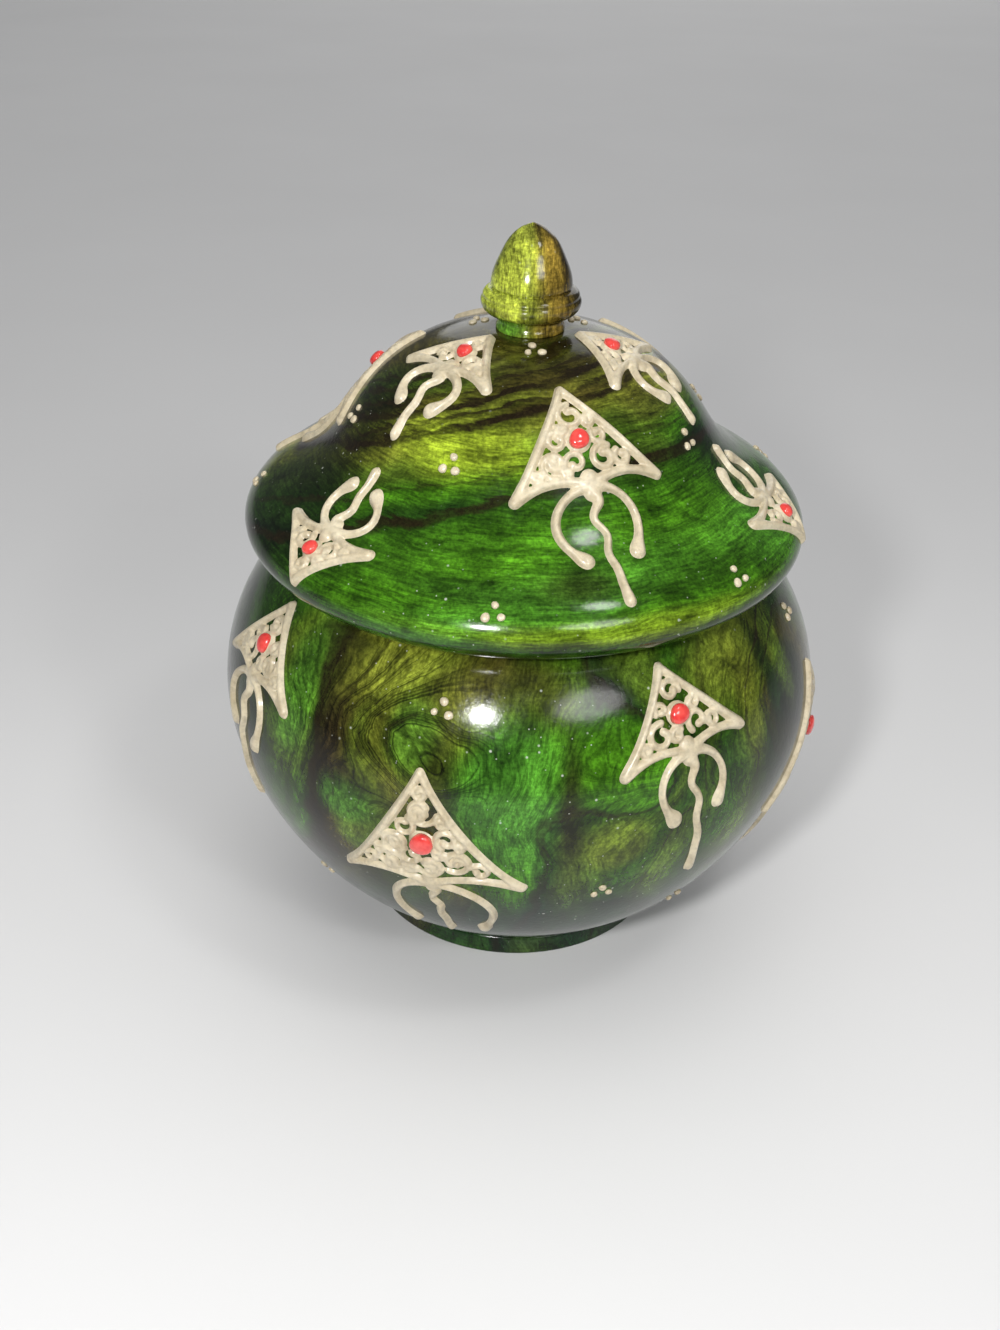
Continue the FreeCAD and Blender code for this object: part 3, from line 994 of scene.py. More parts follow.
@dataclass(frozen=True)
class JarBody:
    """The bowl with its foot, turned from one block and hollowed through the mouth."""

    foot_radius: float = 0.0367
    foot_height: float = 0.0046
    groove_depth: float = 0.0015
    groove_height: float = 0.0009
    belly_radius: float = 0.0690
    belly_height: float = 0.0600
    rim_radius: float = 0.0496
    height: float = 0.0969
    mouth_radius: float = 0.0430
    mouth_depth: float = 0.0090
    wall: float = 0.0070
    floor_thickness: float = 0.0090
    floor_radius: float = 0.0260
    corner_ease: float = 0.0006
    row_spacing: float = 0.0009
    steps: int = 400
    lower_shares: tuple[Pair, ...] = ((0.257, 0.119), (0.503, 0.266), (0.811, 0.56), (0.958, 0.80))
    upper_shares: tuple[Pair, ...] = ((0.093, 0.325), (0.263, 0.542), (0.541, 0.759))
    cavity_shares: tuple[float, ...] = (0.24, 0.38, 0.54, 0.68, 0.78)

    def outline(self) -> Outline:
        """Outside of the bowl.

        Returns:
            The outline from the groove above the foot, over the belly, to the rim.
        """
        groove = (self.foot_radius - self.groove_depth, self.foot_height + self.groove_height)
        widest = (self.belly_radius, self.belly_height)
        rim = (self.rim_radius, self.height)
        lower = between(groove, widest, self.lower_shares)
        upper = between(widest, rim, self.upper_shares)
        return Outline([groove, *lower, widest, *upper, rim])

    def build(self) -> Object:
        """The bowl as one turned mesh: underside, foot, groove, belly, rim, mouth, cavity, floor.

        Returns:
            The object.
        """
        outside = self.outline()
        mouth_foot = (self.mouth_radius, self.height - self.mouth_depth)
        inside = [tuple(outside.moved(share * outside.length, -self.wall)) for share in self.cavity_shares]
        floor_edge = (self.floor_radius, self.floor_thickness)
        cavity = Outline([floor_edge, *inside, mouth_foot])
        foot_top = (self.foot_radius, self.foot_height)
        foot = [(self.foot_radius, 0), foot_top, tuple(outside.points[0])]
        mouth = [tuple(outside.points[-1]), (self.mouth_radius, self.height), mouth_foot]
        coarse = 3 * self.row_spacing
        runs = [
            straight((0, 0), foot[0], coarse),
            *path_of(foot, self.row_spacing),
            outside.at(outside.rows(self.row_spacing)),
            *path_of(mouth, coarse),
            cavity.at(cavity.rows(2 * self.row_spacing))[::-1],
            straight(floor_edge, (0, self.floor_thickness), coarse),
        ]
        return turned("turned_bowl", joined(runs, self.corner_ease), self.steps)

    def dress(self, piece: Object) -> None:
        """Paints the stains of the belly, and painted shade round its foot and on its flanks, and gives the
        bowl its finish.

        Args:
            piece: the bowl.
        """
        colour_patches = [
            # Painted shade: a dark teal band round the lower belly, darker towards the foot.
            Patch(0, 0.018, ALL_ROUND, 0.024, Tone.TEAL, 0.88),
            Patch(-46, 0.079, 8, 0.017, Tone.YELLOW_OLIVE, 0.55),
            Patch(-45, 0.079, 6.5, 0.015, Tone.BRIGHT_GREEN, 0.75),
            Patch(-37, 0.070, 4.5, 0.026, Tone.BROWN, 0.85),
            Patch(-22, 0.086, 15, 0.011, Tone.YELLOW_OLIVE, 0.80),
            Patch(-20, 0.074, 9, 0.009, Tone.YELLOW_OLIVE, 0.62),
            Patch(-19, 0.079, 4.5, 0.006, Tone.BRIGHT_GREEN, 0.60),
            Patch(-31, 0.061, 5.5, 0.005, Tone.BRIGHT_GREEN, 0.70),
            Patch(-13, 0.068, 5, 0.016, Tone.BROWN, 0.70),
            Patch(2, 0.089, 14, 0.007, Tone.UMBER, 0.75),
            Patch(-1, 0.066, 8.5, 0.016, Tone.BRIGHT_GREEN, 0.95),
            Patch(-6, 0.048, 7, 0.006, Tone.EMERALD, 0.60),
            Patch(10, 0.066, 2.8, 0.018, Tone.BROWN, 0.92),
            Patch(20, 0.072, 9, 0.014, Tone.EMERALD, 0.70),
            Patch(18, 0.057, 5, 0.006, Tone.YELLOW_OLIVE, 0.50),
            Patch(52, 0.087, 14, 0.009, Tone.YELLOW_OLIVE, 0.60),
            Patch(38, 0.064, 11, 0.015, Tone.BOTTLE, 0.65),
            # Dark stain deepened into painted shade on the right flank.
            Patch(58, 0.062, 12, 0.020, Tone.BLACK_GREEN, 0.75),
            Patch(49, 0.078, 3.5, 0.012, Tone.YELLOW_OLIVE, 0.65),
            Patch(57, 0.080, 2.5, 0.013, Tone.DEEP, 0.80),
            Patch(63, 0.081, 3.0, 0.010, Tone.OLIVE, 0.75),
            # Dark stain deepened into painted shade on the left flank.
            Patch(-64, 0.062, 14, 0.026, Tone.BLACK_GREEN, 0.75),
            Patch(-95, 0.075, 14, 0.018, Tone.OLIVE, 0.65),
            Patch(98, 0.072, 12, 0.020, Tone.BRIGHT_GREEN, 0.70),
            Patch(124, 0.066, 5, 0.030, Tone.BROWN, 0.80),
            Patch(146, 0.080, 14, 0.014, Tone.YELLOW_OLIVE, 0.60),
            Patch(178, 0.064, 10, 0.018, Tone.BRIGHT_GREEN, 0.80),
            Patch(203, 0.074, 6, 0.024, Tone.UMBER, 0.75),
            Patch(232, 0.070, 13, 0.016, Tone.OLIVE, 0.70),
        ]
        burl = [
            Patch(-22, 0.079, 22, 0.022, Tone.BROWN, 1.0),
            Patch(-42, 0.070, 9, 0.024, Tone.BROWN, 0.6),
            Patch(4, 0.066, 16, 0.020, Tone.BROWN, 0.45),
            Patch(30, 0.072, 22, 0.022, Tone.BROWN, 0.55),
            Patch(100, 0.072, 26, 0.022, Tone.BROWN, 0.7),
            Patch(150, 0.078, 20, 0.018, Tone.BROWN, 0.9),
            Patch(230, 0.066, 14, 0.016, Tone.BROWN, 0.7),
        ]
        paint(piece, colour_patches, burl, self.outline())
        wood = StainedWood(
            name="belly_wood",
            direction=(1.0, 0.10, -0.12),
            drift=0.0125,
            stops=(
                (-0.085, Tone.DEEP), (-0.064, Tone.BOTTLE), (-0.057, Tone.EMERALD), (-0.051, Tone.BROWN),
                (-0.043, Tone.UMBER), (-0.033, Tone.OLIVE), (-0.024, Tone.UMBER), (-0.018, Tone.BOTTLE),
                (-0.009, Tone.EMERALD), (-0.004, Tone.DEEP), (0.003, Tone.OLIVE), (0.013, Tone.BOTTLE),
                (0.022, Tone.OLIVE), (0.030, Tone.BOTTLE), (0.038, Tone.OLIVE), (0.050, Tone.BOTTLE),
                (0.062, Tone.UMBER), (0.072, Tone.DEEP),
            ),
            veins=(
                (-0.0535, 0.0026, 0.9), (-0.046, 0.0010, 0.6), (-0.0345, 0.0008, 0.35),
                (-0.0215, 0.0010, 0.40), (-0.0045, 0.0016, 0.70), (0.019, 0.0009, 0.6),
                (0.040, 0.0012, 0.7), (0.054, 0.0014, 0.7),
            ),
            grain=(330, 75, 75),
            fibre_share=0.42,
            fleck_share=0.55,
            turned_share=0.12,
            eyes=(
                Eye(-21, 0.066, 0.078, 0.014, 0.027), Eye(-33, 0.067, 0.058, 0.008, 0.018),
                Eye(24, 0.066, 0.076, 0.012, -0.026), Eye(62, 0.066, 0.078, 0.012, 0.034),
                Eye(118, 0.067, 0.070, 0.013, 0.040), Eye(163, 0.066, 0.078, 0.012, -0.034),
                Eye(222, 0.067, 0.068, 0.014, 0.040), Eye(275, 0.066, 0.076, 0.012, -0.034),
            ),
        )
        seat(piece, Body.JAR, Slot.GREEN_WOOD, wood.material(), "jar_body")


@dataclass(frozen=True)
class Lid:
    """The domed lid with its overhanging brim, the spigot that enters the mouth and the finial's socket."""

    seat_height: float = 0.0969
    height: float = 0.0460
    brim_radius: float = 0.0620
    brim_height: float = 0.0061
    brim_foot_radius: float = 0.0594
    crown_radius: float = 0.0090
    crown_thickness: float = 0.0130
    spigot_radius: float = 0.0426
    spigot_depth: float = 0.0065
    spigot_wall: float = 0.0050
    recess_height: float = 0.0080
    socket_radius: float = 0.00405
    socket_depth: float = 0.00905
    corner_ease: float = 0.0005
    row_spacing: float = 0.0008
    steps: int = 400
    dome_shares: tuple[Pair, ...] = (
        (0.966, 0.075), (0.804, 0.226), (0.655, 0.388), (0.551, 0.576), (0.415, 0.777), (0.215, 0.927),
    )
    hollow_shares: tuple[Pair, ...] = ((0.85, 0.45), (0.53, 0.80))

    @property
    def crown_height(self) -> float:
        """Height of the lid's top, where the finial stands."""
        return self.seat_height + self.height

    def outline(self) -> Outline:
        """Outside of the lid.

        Returns:
            The outline from the brim's foot, over the brim and the hollow of the ogee, to the crown.
        """
        foot = (self.brim_foot_radius, self.seat_height)
        widest = (self.brim_radius, self.seat_height + self.brim_height)
        crown = (self.crown_radius, self.crown_height)
        return Outline([foot, widest, *between(crown, widest, flipped(self.dome_shares)), crown])

    def build(self) -> Object:
        """The lid as one turned mesh: hollow, spigot, underside, brim, dome, crown, socket.

        Returns:
            The object.
        """
        outside = self.outline()
        hollow_radius = self.spigot_radius - self.spigot_wall
        hollow_foot = (hollow_radius, self.seat_height + self.recess_height)
        hollow_top = (0.0, self.crown_height - self.crown_thickness)
        shares = flipped(self.hollow_shares)
        hollow = Outline([hollow_foot, *between(hollow_top, hollow_foot, shares), hollow_top])
        spigot_foot = self.seat_height - self.spigot_depth
        spigot = [
            hollow_foot,
            (hollow_radius, spigot_foot),
            (self.spigot_radius, spigot_foot),
            (self.spigot_radius, self.seat_height),
            tuple(outside.points[0]),
        ]
        socket_foot = self.crown_height - self.socket_depth
        socket = [
            tuple(outside.points[-1]),
            (self.socket_radius, self.crown_height),
            (self.socket_radius, socket_foot),
            (0.0, socket_foot),
        ]
        coarse = 3 * self.row_spacing
        runs = [
            hollow.at(hollow.rows(coarse))[::-1],
            *path_of(spigot, coarse),
            outside.at(outside.rows(self.row_spacing)),
            *path_of(socket, coarse),
        ]
        return turned("turned_lid", joined(runs, self.corner_ease), self.steps)

    def dress(self, piece: Object) -> None:
        """Paints the stains of the dome, and painted shade under the brim and on its flanks, and gives the
        lid its finish.

        Args:
            piece: the lid.
        """
        colour_patches = [
            # Painted shade: a dark band round the underside of the brim.
            Patch(0, 0.099, ALL_ROUND, 0.0035, Tone.DEEP, 0.60),
            Patch(-12, 0.112, 45, 0.008, Tone.EMERALD, 0.60),
            Patch(-20, 0.1295, 22, 0.0052, Tone.LIME, 0.78),
            Patch(-25, 0.1350, 16, 0.0030, Tone.YELLOW_OLIVE, 0.70),
            Patch(16, 0.1375, 16, 0.0028, Tone.UMBER, 0.70),
            Patch(42, 0.1300, 15, 0.0060, Tone.OLIVE, 0.70),
            Patch(52, 0.1350, 16, 0.0040, Tone.UMBER, 0.65),
            Patch(46, 0.1150, 22, 0.0090, Tone.EMERALD, 0.70),
            Patch(-5, 0.1235, 20, 0.0035, Tone.EMERALD, 0.55),
            # Dark stain deepened into painted shade on the left flank, low and high.
            Patch(-68, 0.1130, 24, 0.0140, Tone.BLACK_GREEN, 0.88),
            Patch(-64, 0.1330, 18, 0.0090, Tone.BLACK_GREEN, 0.80),
            Patch(12.5, 0.1100, 9, 0.0024, Tone.BROWN, 0.72),
            Patch(-13, 0.1092, 13, 0.0014, Tone.DEEP, 0.50),
            Patch(37, 0.1085, 10, 0.0016, Tone.BOTTLE, 0.55),
            Patch(66, 0.1075, 12, 0.0030, Tone.BRIGHT_GREEN, 0.50),
            Patch(18, 0.1030, 34, 0.0022, Tone.LIME, 0.42),
            # Dark stain deepened into painted shade on the right flank.
            Patch(84, 0.1180, 18, 0.0140, Tone.DEEP, 0.65),
            Patch(0, 0.1415, ALL_ROUND, 0.0022, Tone.UMBER, 0.75),
            Patch(128, 0.1220, 24, 0.0100, Tone.OLIVE, 0.60),
            Patch(165, 0.1080, 26, 0.0060, Tone.BRIGHT_GREEN, 0.55),
            Patch(205, 0.1290, 20, 0.0060, Tone.LIME, 0.60),
            Patch(240, 0.1120, 20, 0.0100, Tone.EMERALD, 0.60),
        ]
        burl = [
            Patch(-30, 0.1320, 30, 0.0060, Tone.BROWN, 0.55),
            Patch(45, 0.1340, 22, 0.0060, Tone.BROWN, 0.50),
            Patch(190, 0.1300, 30, 0.0070, Tone.BROWN, 0.55),
        ]
        paint(piece, colour_patches, burl, self.outline())
        wood = StainedWood(
            name="lid_wood",
            direction=(-0.247, 0.25, 1.0),
            drift=0.0050,
            stops=(
                (0.070, Tone.DEEP), (0.086, Tone.EMERALD), (0.094, Tone.BRIGHT_GREEN), (0.102, Tone.EMERALD),
                (0.110, Tone.BOTTLE), (0.114, Tone.DEEP), (0.118, Tone.EMERALD), (0.122, Tone.OLIVE),
                (0.126, Tone.YELLOW_OLIVE), (0.129, Tone.UMBER), (0.131, Tone.YELLOW_OLIVE),
                (0.134, Tone.UMBER), (0.138, Tone.OLIVE), (0.143, Tone.UMBER), (0.150, Tone.BROWN),
            ),
            veins=(
                (0.1130, 0.0013, 0.9), (0.1185, 0.0006, 0.6), (0.1280, 0.0011, 1.0), (0.1303, 0.0005, 0.8),
                (0.1325, 0.0010, 1.0), (0.1350, 0.0005, 0.8), (0.1375, 0.0011, 0.9), (0.1400, 0.0007, 0.8),
            ),
            grain=(70, 70, 520),
            fibre_share=0.60,
            fleck_share=0.42,
            turned_share=0.36,
        )
        seat(piece, Body.LID, Slot.GREEN_WOOD, wood.material(), "lid")


@dataclass(frozen=True)
class Finial:
    """The acorn knob: tenon, collar, hollow neck, round ring with a turned line, and acorn."""

    foot_height: float = 0.1429
    tenon_radius: float = 0.0040
    tenon_length: float = 0.0090
    collar_radius: float = 0.0073
    collar_height: float = 0.0008
    neck_radius: float = 0.0069
    neck_height: float = 0.0034
    ring_radius: float = 0.0106
    ring_height: float = 0.0054
    ring_root_radius: float = 0.0081
    ring_line_share: float = 0.66
    ring_line_depth: float = 0.0004
    ring_line_width_share: float = 0.9
    acorn_radius: float = 0.0086
    acorn_lip: float = 0.0006
    acorn_height: float = 0.0127
    corner_ease: float = 0.00022
    ease_steps: int = 3
    row_spacing: float = 0.0004
    neck_rows: int = 14
    ring_rows: int = 40
    acorn_rows: int = 64
    steps: int = 160
    acorn_shares: tuple[Pair, ...] = ((0.97, 0.15), (0.80, 0.45), (0.61, 0.70), (0.36, 0.88))

    def build(self) -> Object:
        """The knob as one turned mesh from the tenon's end to the acorn's tip.

        Returns:
            The object.
        """
        collar_top = self.foot_height + self.collar_height
        ring_foot = self.foot_height + self.neck_height
        ring_top = ring_foot + self.ring_height
        acorn_foot = ring_top + self.acorn_lip
        acorn_start = (self.acorn_radius, acorn_foot)
        neck = Outline([
            (self.collar_radius, collar_top),
            ((self.collar_radius + self.neck_radius) / 2, collar_top + self.row_spacing),
            (self.neck_radius, (collar_top + ring_foot) / 2),
            (self.ring_root_radius, ring_foot),
        ])
        sides = [
            (self.acorn_radius * radius, acorn_foot + self.acorn_height * rise)
            for radius, rise in self.acorn_shares
        ]
        acorn = Outline([acorn_start, *sides, (0.0, acorn_foot + self.acorn_height)])
        tenon_foot = self.foot_height - self.tenon_length
        tenon = [
            (0, tenon_foot),
            (self.tenon_radius, tenon_foot),
            (self.tenon_radius, self.foot_height),
            (self.collar_radius, self.foot_height),
            (self.collar_radius, collar_top),
        ]
        runs = [
            *path_of(tenon, self.row_spacing),
            neck.at(np.linspace(0, neck.length, self.neck_rows)),
            self._ring(ring_foot),
            straight((self.ring_root_radius, ring_top), acorn_start, self.row_spacing),
            acorn.at(np.linspace(0, acorn.length, self.acorn_rows)),
        ]
        return turned("acorn_finial", joined(runs, self.corner_ease, self.ease_steps), self.steps)

    def _ring(self, foot: float) -> Array:
        """Outline of the ring: a half ellipse with one shallow turned line cut into its upper part.

        At an angle t the ellipse is (root + bulge cos t, middle + half sin t). The line is a dip of
        depth * exp(-(d / width)^2), d the height from the line.

        Args:
            foot: height of the ring's foot.

        Returns:
            (radius, height) pairs from the bottom up.
        """
        bulge = self.ring_radius - self.ring_root_radius
        half = self.ring_height / 2
        turn = np.radians(np.linspace(-90, 90, self.ring_rows))
        middle = np.array((self.ring_root_radius, foot + half))
        ring = middle + np.stack([bulge * np.cos(turn), half * np.sin(turn)], axis=1)
        line = foot + self.ring_height * self.ring_line_share
        away = (ring[:, 1] - line) / (self.ring_line_width_share * self.ring_line_depth)
        ring[:, 0] -= self.ring_line_depth * np.exp(-away ** 2)
        return ring

    def dress(self, piece: Object) -> None:
        """Paints the knob from apple green on the left to gold on the right and gives it its finish.

        Args:
            piece: the knob.
        """
        middle = self.foot_height + self.ring_height + self.neck_height + self.acorn_height / 2
        waist = self.foot_height + self.neck_height / 2
        colour_patches = [
            Patch(-42, middle, 52, 0.0120, Tone.APPLE, 0.85),
            Patch(40, middle - 0.001, 34, 0.0090, Tone.GOLD, 0.85),
            Patch(75, middle, 20, 0.0140, Tone.BROWN, 0.70),
            Patch(20, middle + 0.0075, 60, 0.0035, Tone.UMBER, 0.65),
            Patch(-50, waist, 40, 0.0026, Tone.BRIGHT_GREEN, 0.90),
            Patch(42, waist, 40, 0.0026, Tone.GOLD, 0.75),
            Patch(150, middle, 40, 0.0120, Tone.YELLOW_OLIVE, 0.80),
            Patch(215, middle, 34, 0.0120, Tone.APPLE, 0.75),
        ]
        paint(piece, colour_patches, [Patch(0, middle, ALL_ROUND, 0.010, Tone.BROWN, 0.25)])
        wood = StainedWood(
            name="finial_wood",
            direction=(1.0, 0.2, 0.1),
            drift=0.0016,
            stops=(
                (0.000, Tone.OLIVE), (0.008, Tone.APPLE), (0.013, Tone.YELLOW_OLIVE), (0.019, Tone.GOLD),
                (0.024, Tone.UMBER), (0.030, Tone.BROWN),
            ),
            veins=((0.0115, 0.0005, 0.4), (0.0165, 0.0005, 0.6), (0.0215, 0.0006, 0.7)),
            grain=(900, 300, 160),
            fibre_share=0.8,
            fleck_share=0.35,
            turned_share=0.30,
            dust=0.15,
        )
        seat(piece, Body.LID, Slot.OLIVE_WOOD, wood.material(), "finial")


@dataclass(frozen=True)
class Bead:
    """One piped line of paste: a flat path with its half width and its height at each point."""

    path: Array
    half_width: Array
    rise: Array


@dataclass(frozen=True)
class Piping:
    """Sizes of the piped lines that all the pendants share.

    Attributes:
        line: half width of the usual line.
        line_rise: height of its crest.
        scroll: half width of a hook.
        scroll_rise: height of its crest.
        margin: bare edge of the grid that the lines are stamped into.
        grid: size of a cell of that grid.
        sink: how far the relief's edge goes under the wood.
        used_share: share of the sink that a cell has to rise above to be used.
        bed: depth of the bed under the wood.
        spacing: distance between the points of a line.
        head_reach: length of the wider start, in half widths.
        foot_reach: length of the wider end, in half widths.
        sway: share that the width wavers by.
        sway_reach: length of a waver, in half widths to a radian.
        sway_rise: share of the waver that the crest follows.
        stamp_reach: reach of the stamp, in half widths.
    """

    line: float = 0.00088
    line_rise: float = 0.00105
    scroll: float = 0.00062
    scroll_rise: float = 0.00086
    margin: float = 0.00495
    grid: float = 0.00021
    sink: float = 0.00030
    used_share: float = 0.97
    bed: float = 0.00055
    spacing: float = 0.00014
    head_reach: float = 4
    foot_reach: float = 2.5
    sway: float = 0.10
    sway_reach: float = 5
    sway_rise: float = 0.06
    stamp_reach: float = 1.35


PIPING = Piping()


def bezier(points: Sequence[Pair], count: int = 80) -> Array:
    """A curve drawn by its control points: their sum with binomial weights (n over k) u^k (1-u)^(n-k).

    Args:
        points: the control points.
        count: how many points the curve has.

    Returns:
        (count, 2) points.
    """
    control = np.array(points)
    order = len(control) - 1
    u = np.linspace(0, 1, count)[:, None]
    k = np.arange(order + 1)
    weights = np.array([math.comb(order, number) for number in k]) * u ** k * (1 - u) ** (order - k)
    return weights @ control


def bead(path: Array, half_width: float, rise: float, ends: Pair, phase: float) -> Bead:
    """A piped line along a path, sampled closely, wider at its ends where the paste gathered.

    The half width is w (1 + head e^(-(s/4w)^2) + foot e^(-(s'/2.5w)^2) + 0.1 sin(s/5w + phase)), with s and
    s' the lengths from the two ends.

    Args:
        path: (n, 2) points.
        half_width: half the usual width.
        rise: height of the line's crest.
        ends: extra shares of width at the start and at the end, head and foot.
        phase: phase of the hand's unevenness.

    Returns:
        The sampled line.
    """
    head, foot = ends
    lengths = running_length(path)
    place = np.linspace(0, lengths[-1], max(2, int(lengths[-1] / PIPING.spacing)))
    near = np.exp(-(place / (PIPING.head_reach * half_width)) ** 2)
    far = np.exp(-((lengths[-1] - place) / (PIPING.foot_reach * half_width)) ** 2)
    uneven = 1 + PIPING.sway * np.sin(place / (PIPING.sway_reach * half_width) + phase)
    widths = half_width * (uneven + head * near + foot * far)
    crest = rise * (1 - PIPING.sway_rise + PIPING.sway_rise * uneven)
    return Bead(along(place, lengths, path), widths, crest)


@dataclass(frozen=True)
class PendantSize:
    """Sizes of one pendant: its plate, the lengths of its tassels and tail, and its drop's radius.

    The pitch is the usual width of a hook, the opening the largest half width that stays unfilled.
    """

    width: float
    height: float
    tassel: float
    tail: float
    drop: float
    pitch: float
    opening: float


@dataclass(frozen=True)
class Drawing:
    """Shares that every pendant is drawn by.

    A length is a share of the plate's width or height, of the tassel or of the usual line, as its comment
    says. The ends of a line are its extra shares of width at its start and end, and a range is for the hand.
    """

    # The sides: how far they bow in, as a share of the width, and how much of that their middle takes.
    bow: float = 0.05
    bow_middle: float = 0.6
    side_ends: Pair = (0.42, 0.15)
    # The base: how it is lifted beside the neck, in widths and heights.
    base_lift: Pair = (0.24, 0.17)
    base_ends: Pair = (0.42, 0.5)
    # The neck: its sway in widths, and its drop, top, bottom and half width in lines.
    neck_sway: float = 0.01
    neck_drop: float = 0.4
    neck_top: float = 1.6
    neck_bottom: float = 1.4
    neck_width: float = 2.1
    neck_points: int = 12
    # The pad under the red drop: its radius in drops, its half width in lines and its share of the rise.
    pad: float = 0.58
    pad_width: float = 1.65
    pad_rise: float = 0.92
    pad_points: int = 60
    # The hooks: spacing of the spots tried in hooks' half widths, how a hook shrinks, and what the hand does.
    spot_spacing: float = 0.7
    most_hooks: int = 90
    hook_points: int = 70
    hook_overlap: float = 0.35
    hook_shrink: float = 0.6
    hook_range: Pair = (0.85, 1.1)
    hook_ends: Pair = (0.1, 0.35)
    base_bow: float = 0.36
    # The tassels: start in lines, control points in widths and tassels, and what the hand does.
    tassel_start: Pair = (0.7, 0.6)
    tassel_arch: Pair = (0.20, 0.3)
    tassel_out: Pair = (0.40, 0.42)
    tassel_under: Pair = (0.24, 0.78)
    tassel_width: float = 0.96
    tassel_head: float = 0.4
    tassel_spread: Pair = (0.92, 1.12)
    tassel_tip: Pair = (0.15, 0.22)
    tassel_foot: Pair = (0.85, 1.10)
    # The tail: its swing in lines, the length of its waves in metres, its lean in widths and how it calms.
    tail_swing: float = 1.6
    tail_swing_range: Pair = (0.8, 1.1)
    tail_wave: Pair = (0.0070, 0.0085)
    tail_lean: float = 0.03
    tail_calm: float = 1.6
    tail_onset: float = 8
    tail_width: float = 0.92
    tail_points: int = 160
    tail_ends: Pair = (0.7, 0.42)


DRAWING = Drawing()


@dataclass
class Pendant:
    """One raised pendant: a triangular plate of scrollwork with a neck, two tassels and a wavy tail.

    The drawing's origin is under the red drop, x to the right and y up the outline.
    """

    name: str
    size: PendantSize
    tilt: float
    seed: int
    beads: list[Bead] = field(default_factory=list)

    def __post_init__(self) -> None:
        """Sets the hand that draws this pendant and its corners."""
        self.hand = np.random.default_rng(self.seed)
        half = self.size.width / 2
        self.foot = -self.size.height * (1 - DROP_SHARE)
        self.left, self.right = (-half, self.foot), (half, self.foot)
        self.top = (0.0, self.size.height * DROP_SHARE)

    def lay(self, path: Array, half_width: float, rise: float, ends: Pair = (0.0, 0.0)) -> None:
        """Adds one piped line, with its extra shares of width at its start and end."""
        self.beads.append(bead(path, half_width, rise, ends, self.hand.uniform(0, LAST_PHASE)))

    def draw(self) -> None:
        """Draws the border, the neck, the scrolls, the tassels and the tail."""
        self._border()
        self._scrolls()
        self._tassels()
        self._tail()

    def _border(self) -> None:
        """The plate's edges: bowed sides with round corners, a base drawn up to the neck, and the neck."""
        size, line, rise, plan = self.size, PIPING.line, PIPING.line_rise, DRAWING
        bow = plan.bow * size.width
        sway = self.hand.uniform(-plan.neck_sway, plan.neck_sway)
        neck = (sway * size.width, self.foot - plan.neck_drop * line)
        for corner, side in ((self.left, -1), (self.right, 1)):
            middle = (corner[0] / 2 - side * bow * plan.bow_middle, (corner[1] + self.top[1]) / 2)
            self.lay(bezier([corner, middle, self.top]), line, rise, plan.side_ends)
            lifted = (side * size.width * plan.base_lift[0], self.foot + plan.base_lift[1] * size.height)
            self.lay(bezier([corner, lifted, neck]), line, rise, plan.base_ends)
        neck_ends = [(neck[0], neck[1] + plan.neck_top * line), (neck[0], neck[1] - plan.neck_bottom * line)]
        self.lay(bezier(neck_ends, plan.neck_points), plan.neck_width * line, rise)
        turn = np.linspace(0, FULL_TURN, plan.pad_points)
        pad = plan.pad * size.drop * np.stack([np.cos(turn), np.sin(turn)], axis=1)
        self.lay(pad, plan.pad_width * line, rise * plan.pad_rise)

    def _scrolls(self) -> None:
        """Hooks that fill the plate, each drawn against the lines before it, as a pen fills a shape.

        A hook is an open spiral, its radius shrinking as r (1 - 0.6 u) while it winds about one turn. It goes
        where the clear distance d to the lines comes closest to half the pitch or, once that is nowhere left,
        where d is largest, until d is under the size's opening everywhere.
        """
        thin, plan = PIPING.scroll, DRAWING
        across = np.arange(self.left[0], self.right[0], plan.spot_spacing * thin)
        up = np.arange(self.foot, self.top[1], plan.spot_spacing * thin)
        spots = np.stack(np.meshgrid(across, up), axis=-1).reshape(-1, 2)
        spots = spots[self._room(spots) > 0]
        clear = np.min([self._clear(spots, line) for line in self.beads], axis=0)
        u = np.linspace(0, 1, plan.hook_points)
        for _ in range(plan.most_hooks):
            wish = 0.5 * self.size.pitch * self.hand.uniform(*plan.hook_range)
            best = np.abs(clear - wish).argmin() if clear.max() > wish else clear.argmax()
            if clear[best] < self.size.opening:
                break
            reach = clear[best] + plan.hook_overlap * thin
            winding = self.hand.choice((-1, 1)) * FULL_TURN * self.hand.uniform(*plan.hook_range)
            turn = self.hand.uniform(0, FULL_TURN) + winding * u
            radius = reach * (1 - plan.hook_shrink * u)
            hook = spots[best] + radius[:, None] * np.stack([np.cos(turn), np.sin(turn)], axis=1)
            width = thin * self.hand.uniform(*plan.hook_range)
            self.lay(hook, width, PIPING.scroll_rise, plan.hook_ends)
            clear = np.minimum(clear, self._clear(spots, self.beads[-1]))

    @staticmethod
    def _clear(spots: Array, line: Bead) -> Array:
        """Clear distance of points from a piped line, by every third of its points."""
        away = np.linalg.norm(spots[:, None, :] - line.path[None, ::3], axis=-1)
        return (away - line.half_width[None, ::3]).min(axis=1)

    def _room(self, spots: Array) -> Array:
        """Distance of points from the plate's nearest edge: its two sides and its bowed base.

        Args:
            spots: (n, 2) points of the drawing.

        Returns:
            (n,) distances, less than zero outside.
        """
        half = self.size.width / 2
        lean = math.hypot(half, self.size.height)
        side = ((half - np.abs(spots[:, 0])) * self.size.height - half * (spots[:, 1] - self.foot)) / lean
        share = np.clip(np.abs(spots[:, 0]) / half, 0, 1)
        base = spots[:, 1] - self.foot - DRAWING.base_bow * self.size.height * share * (1 - share)
        return np.minimum(side, base)

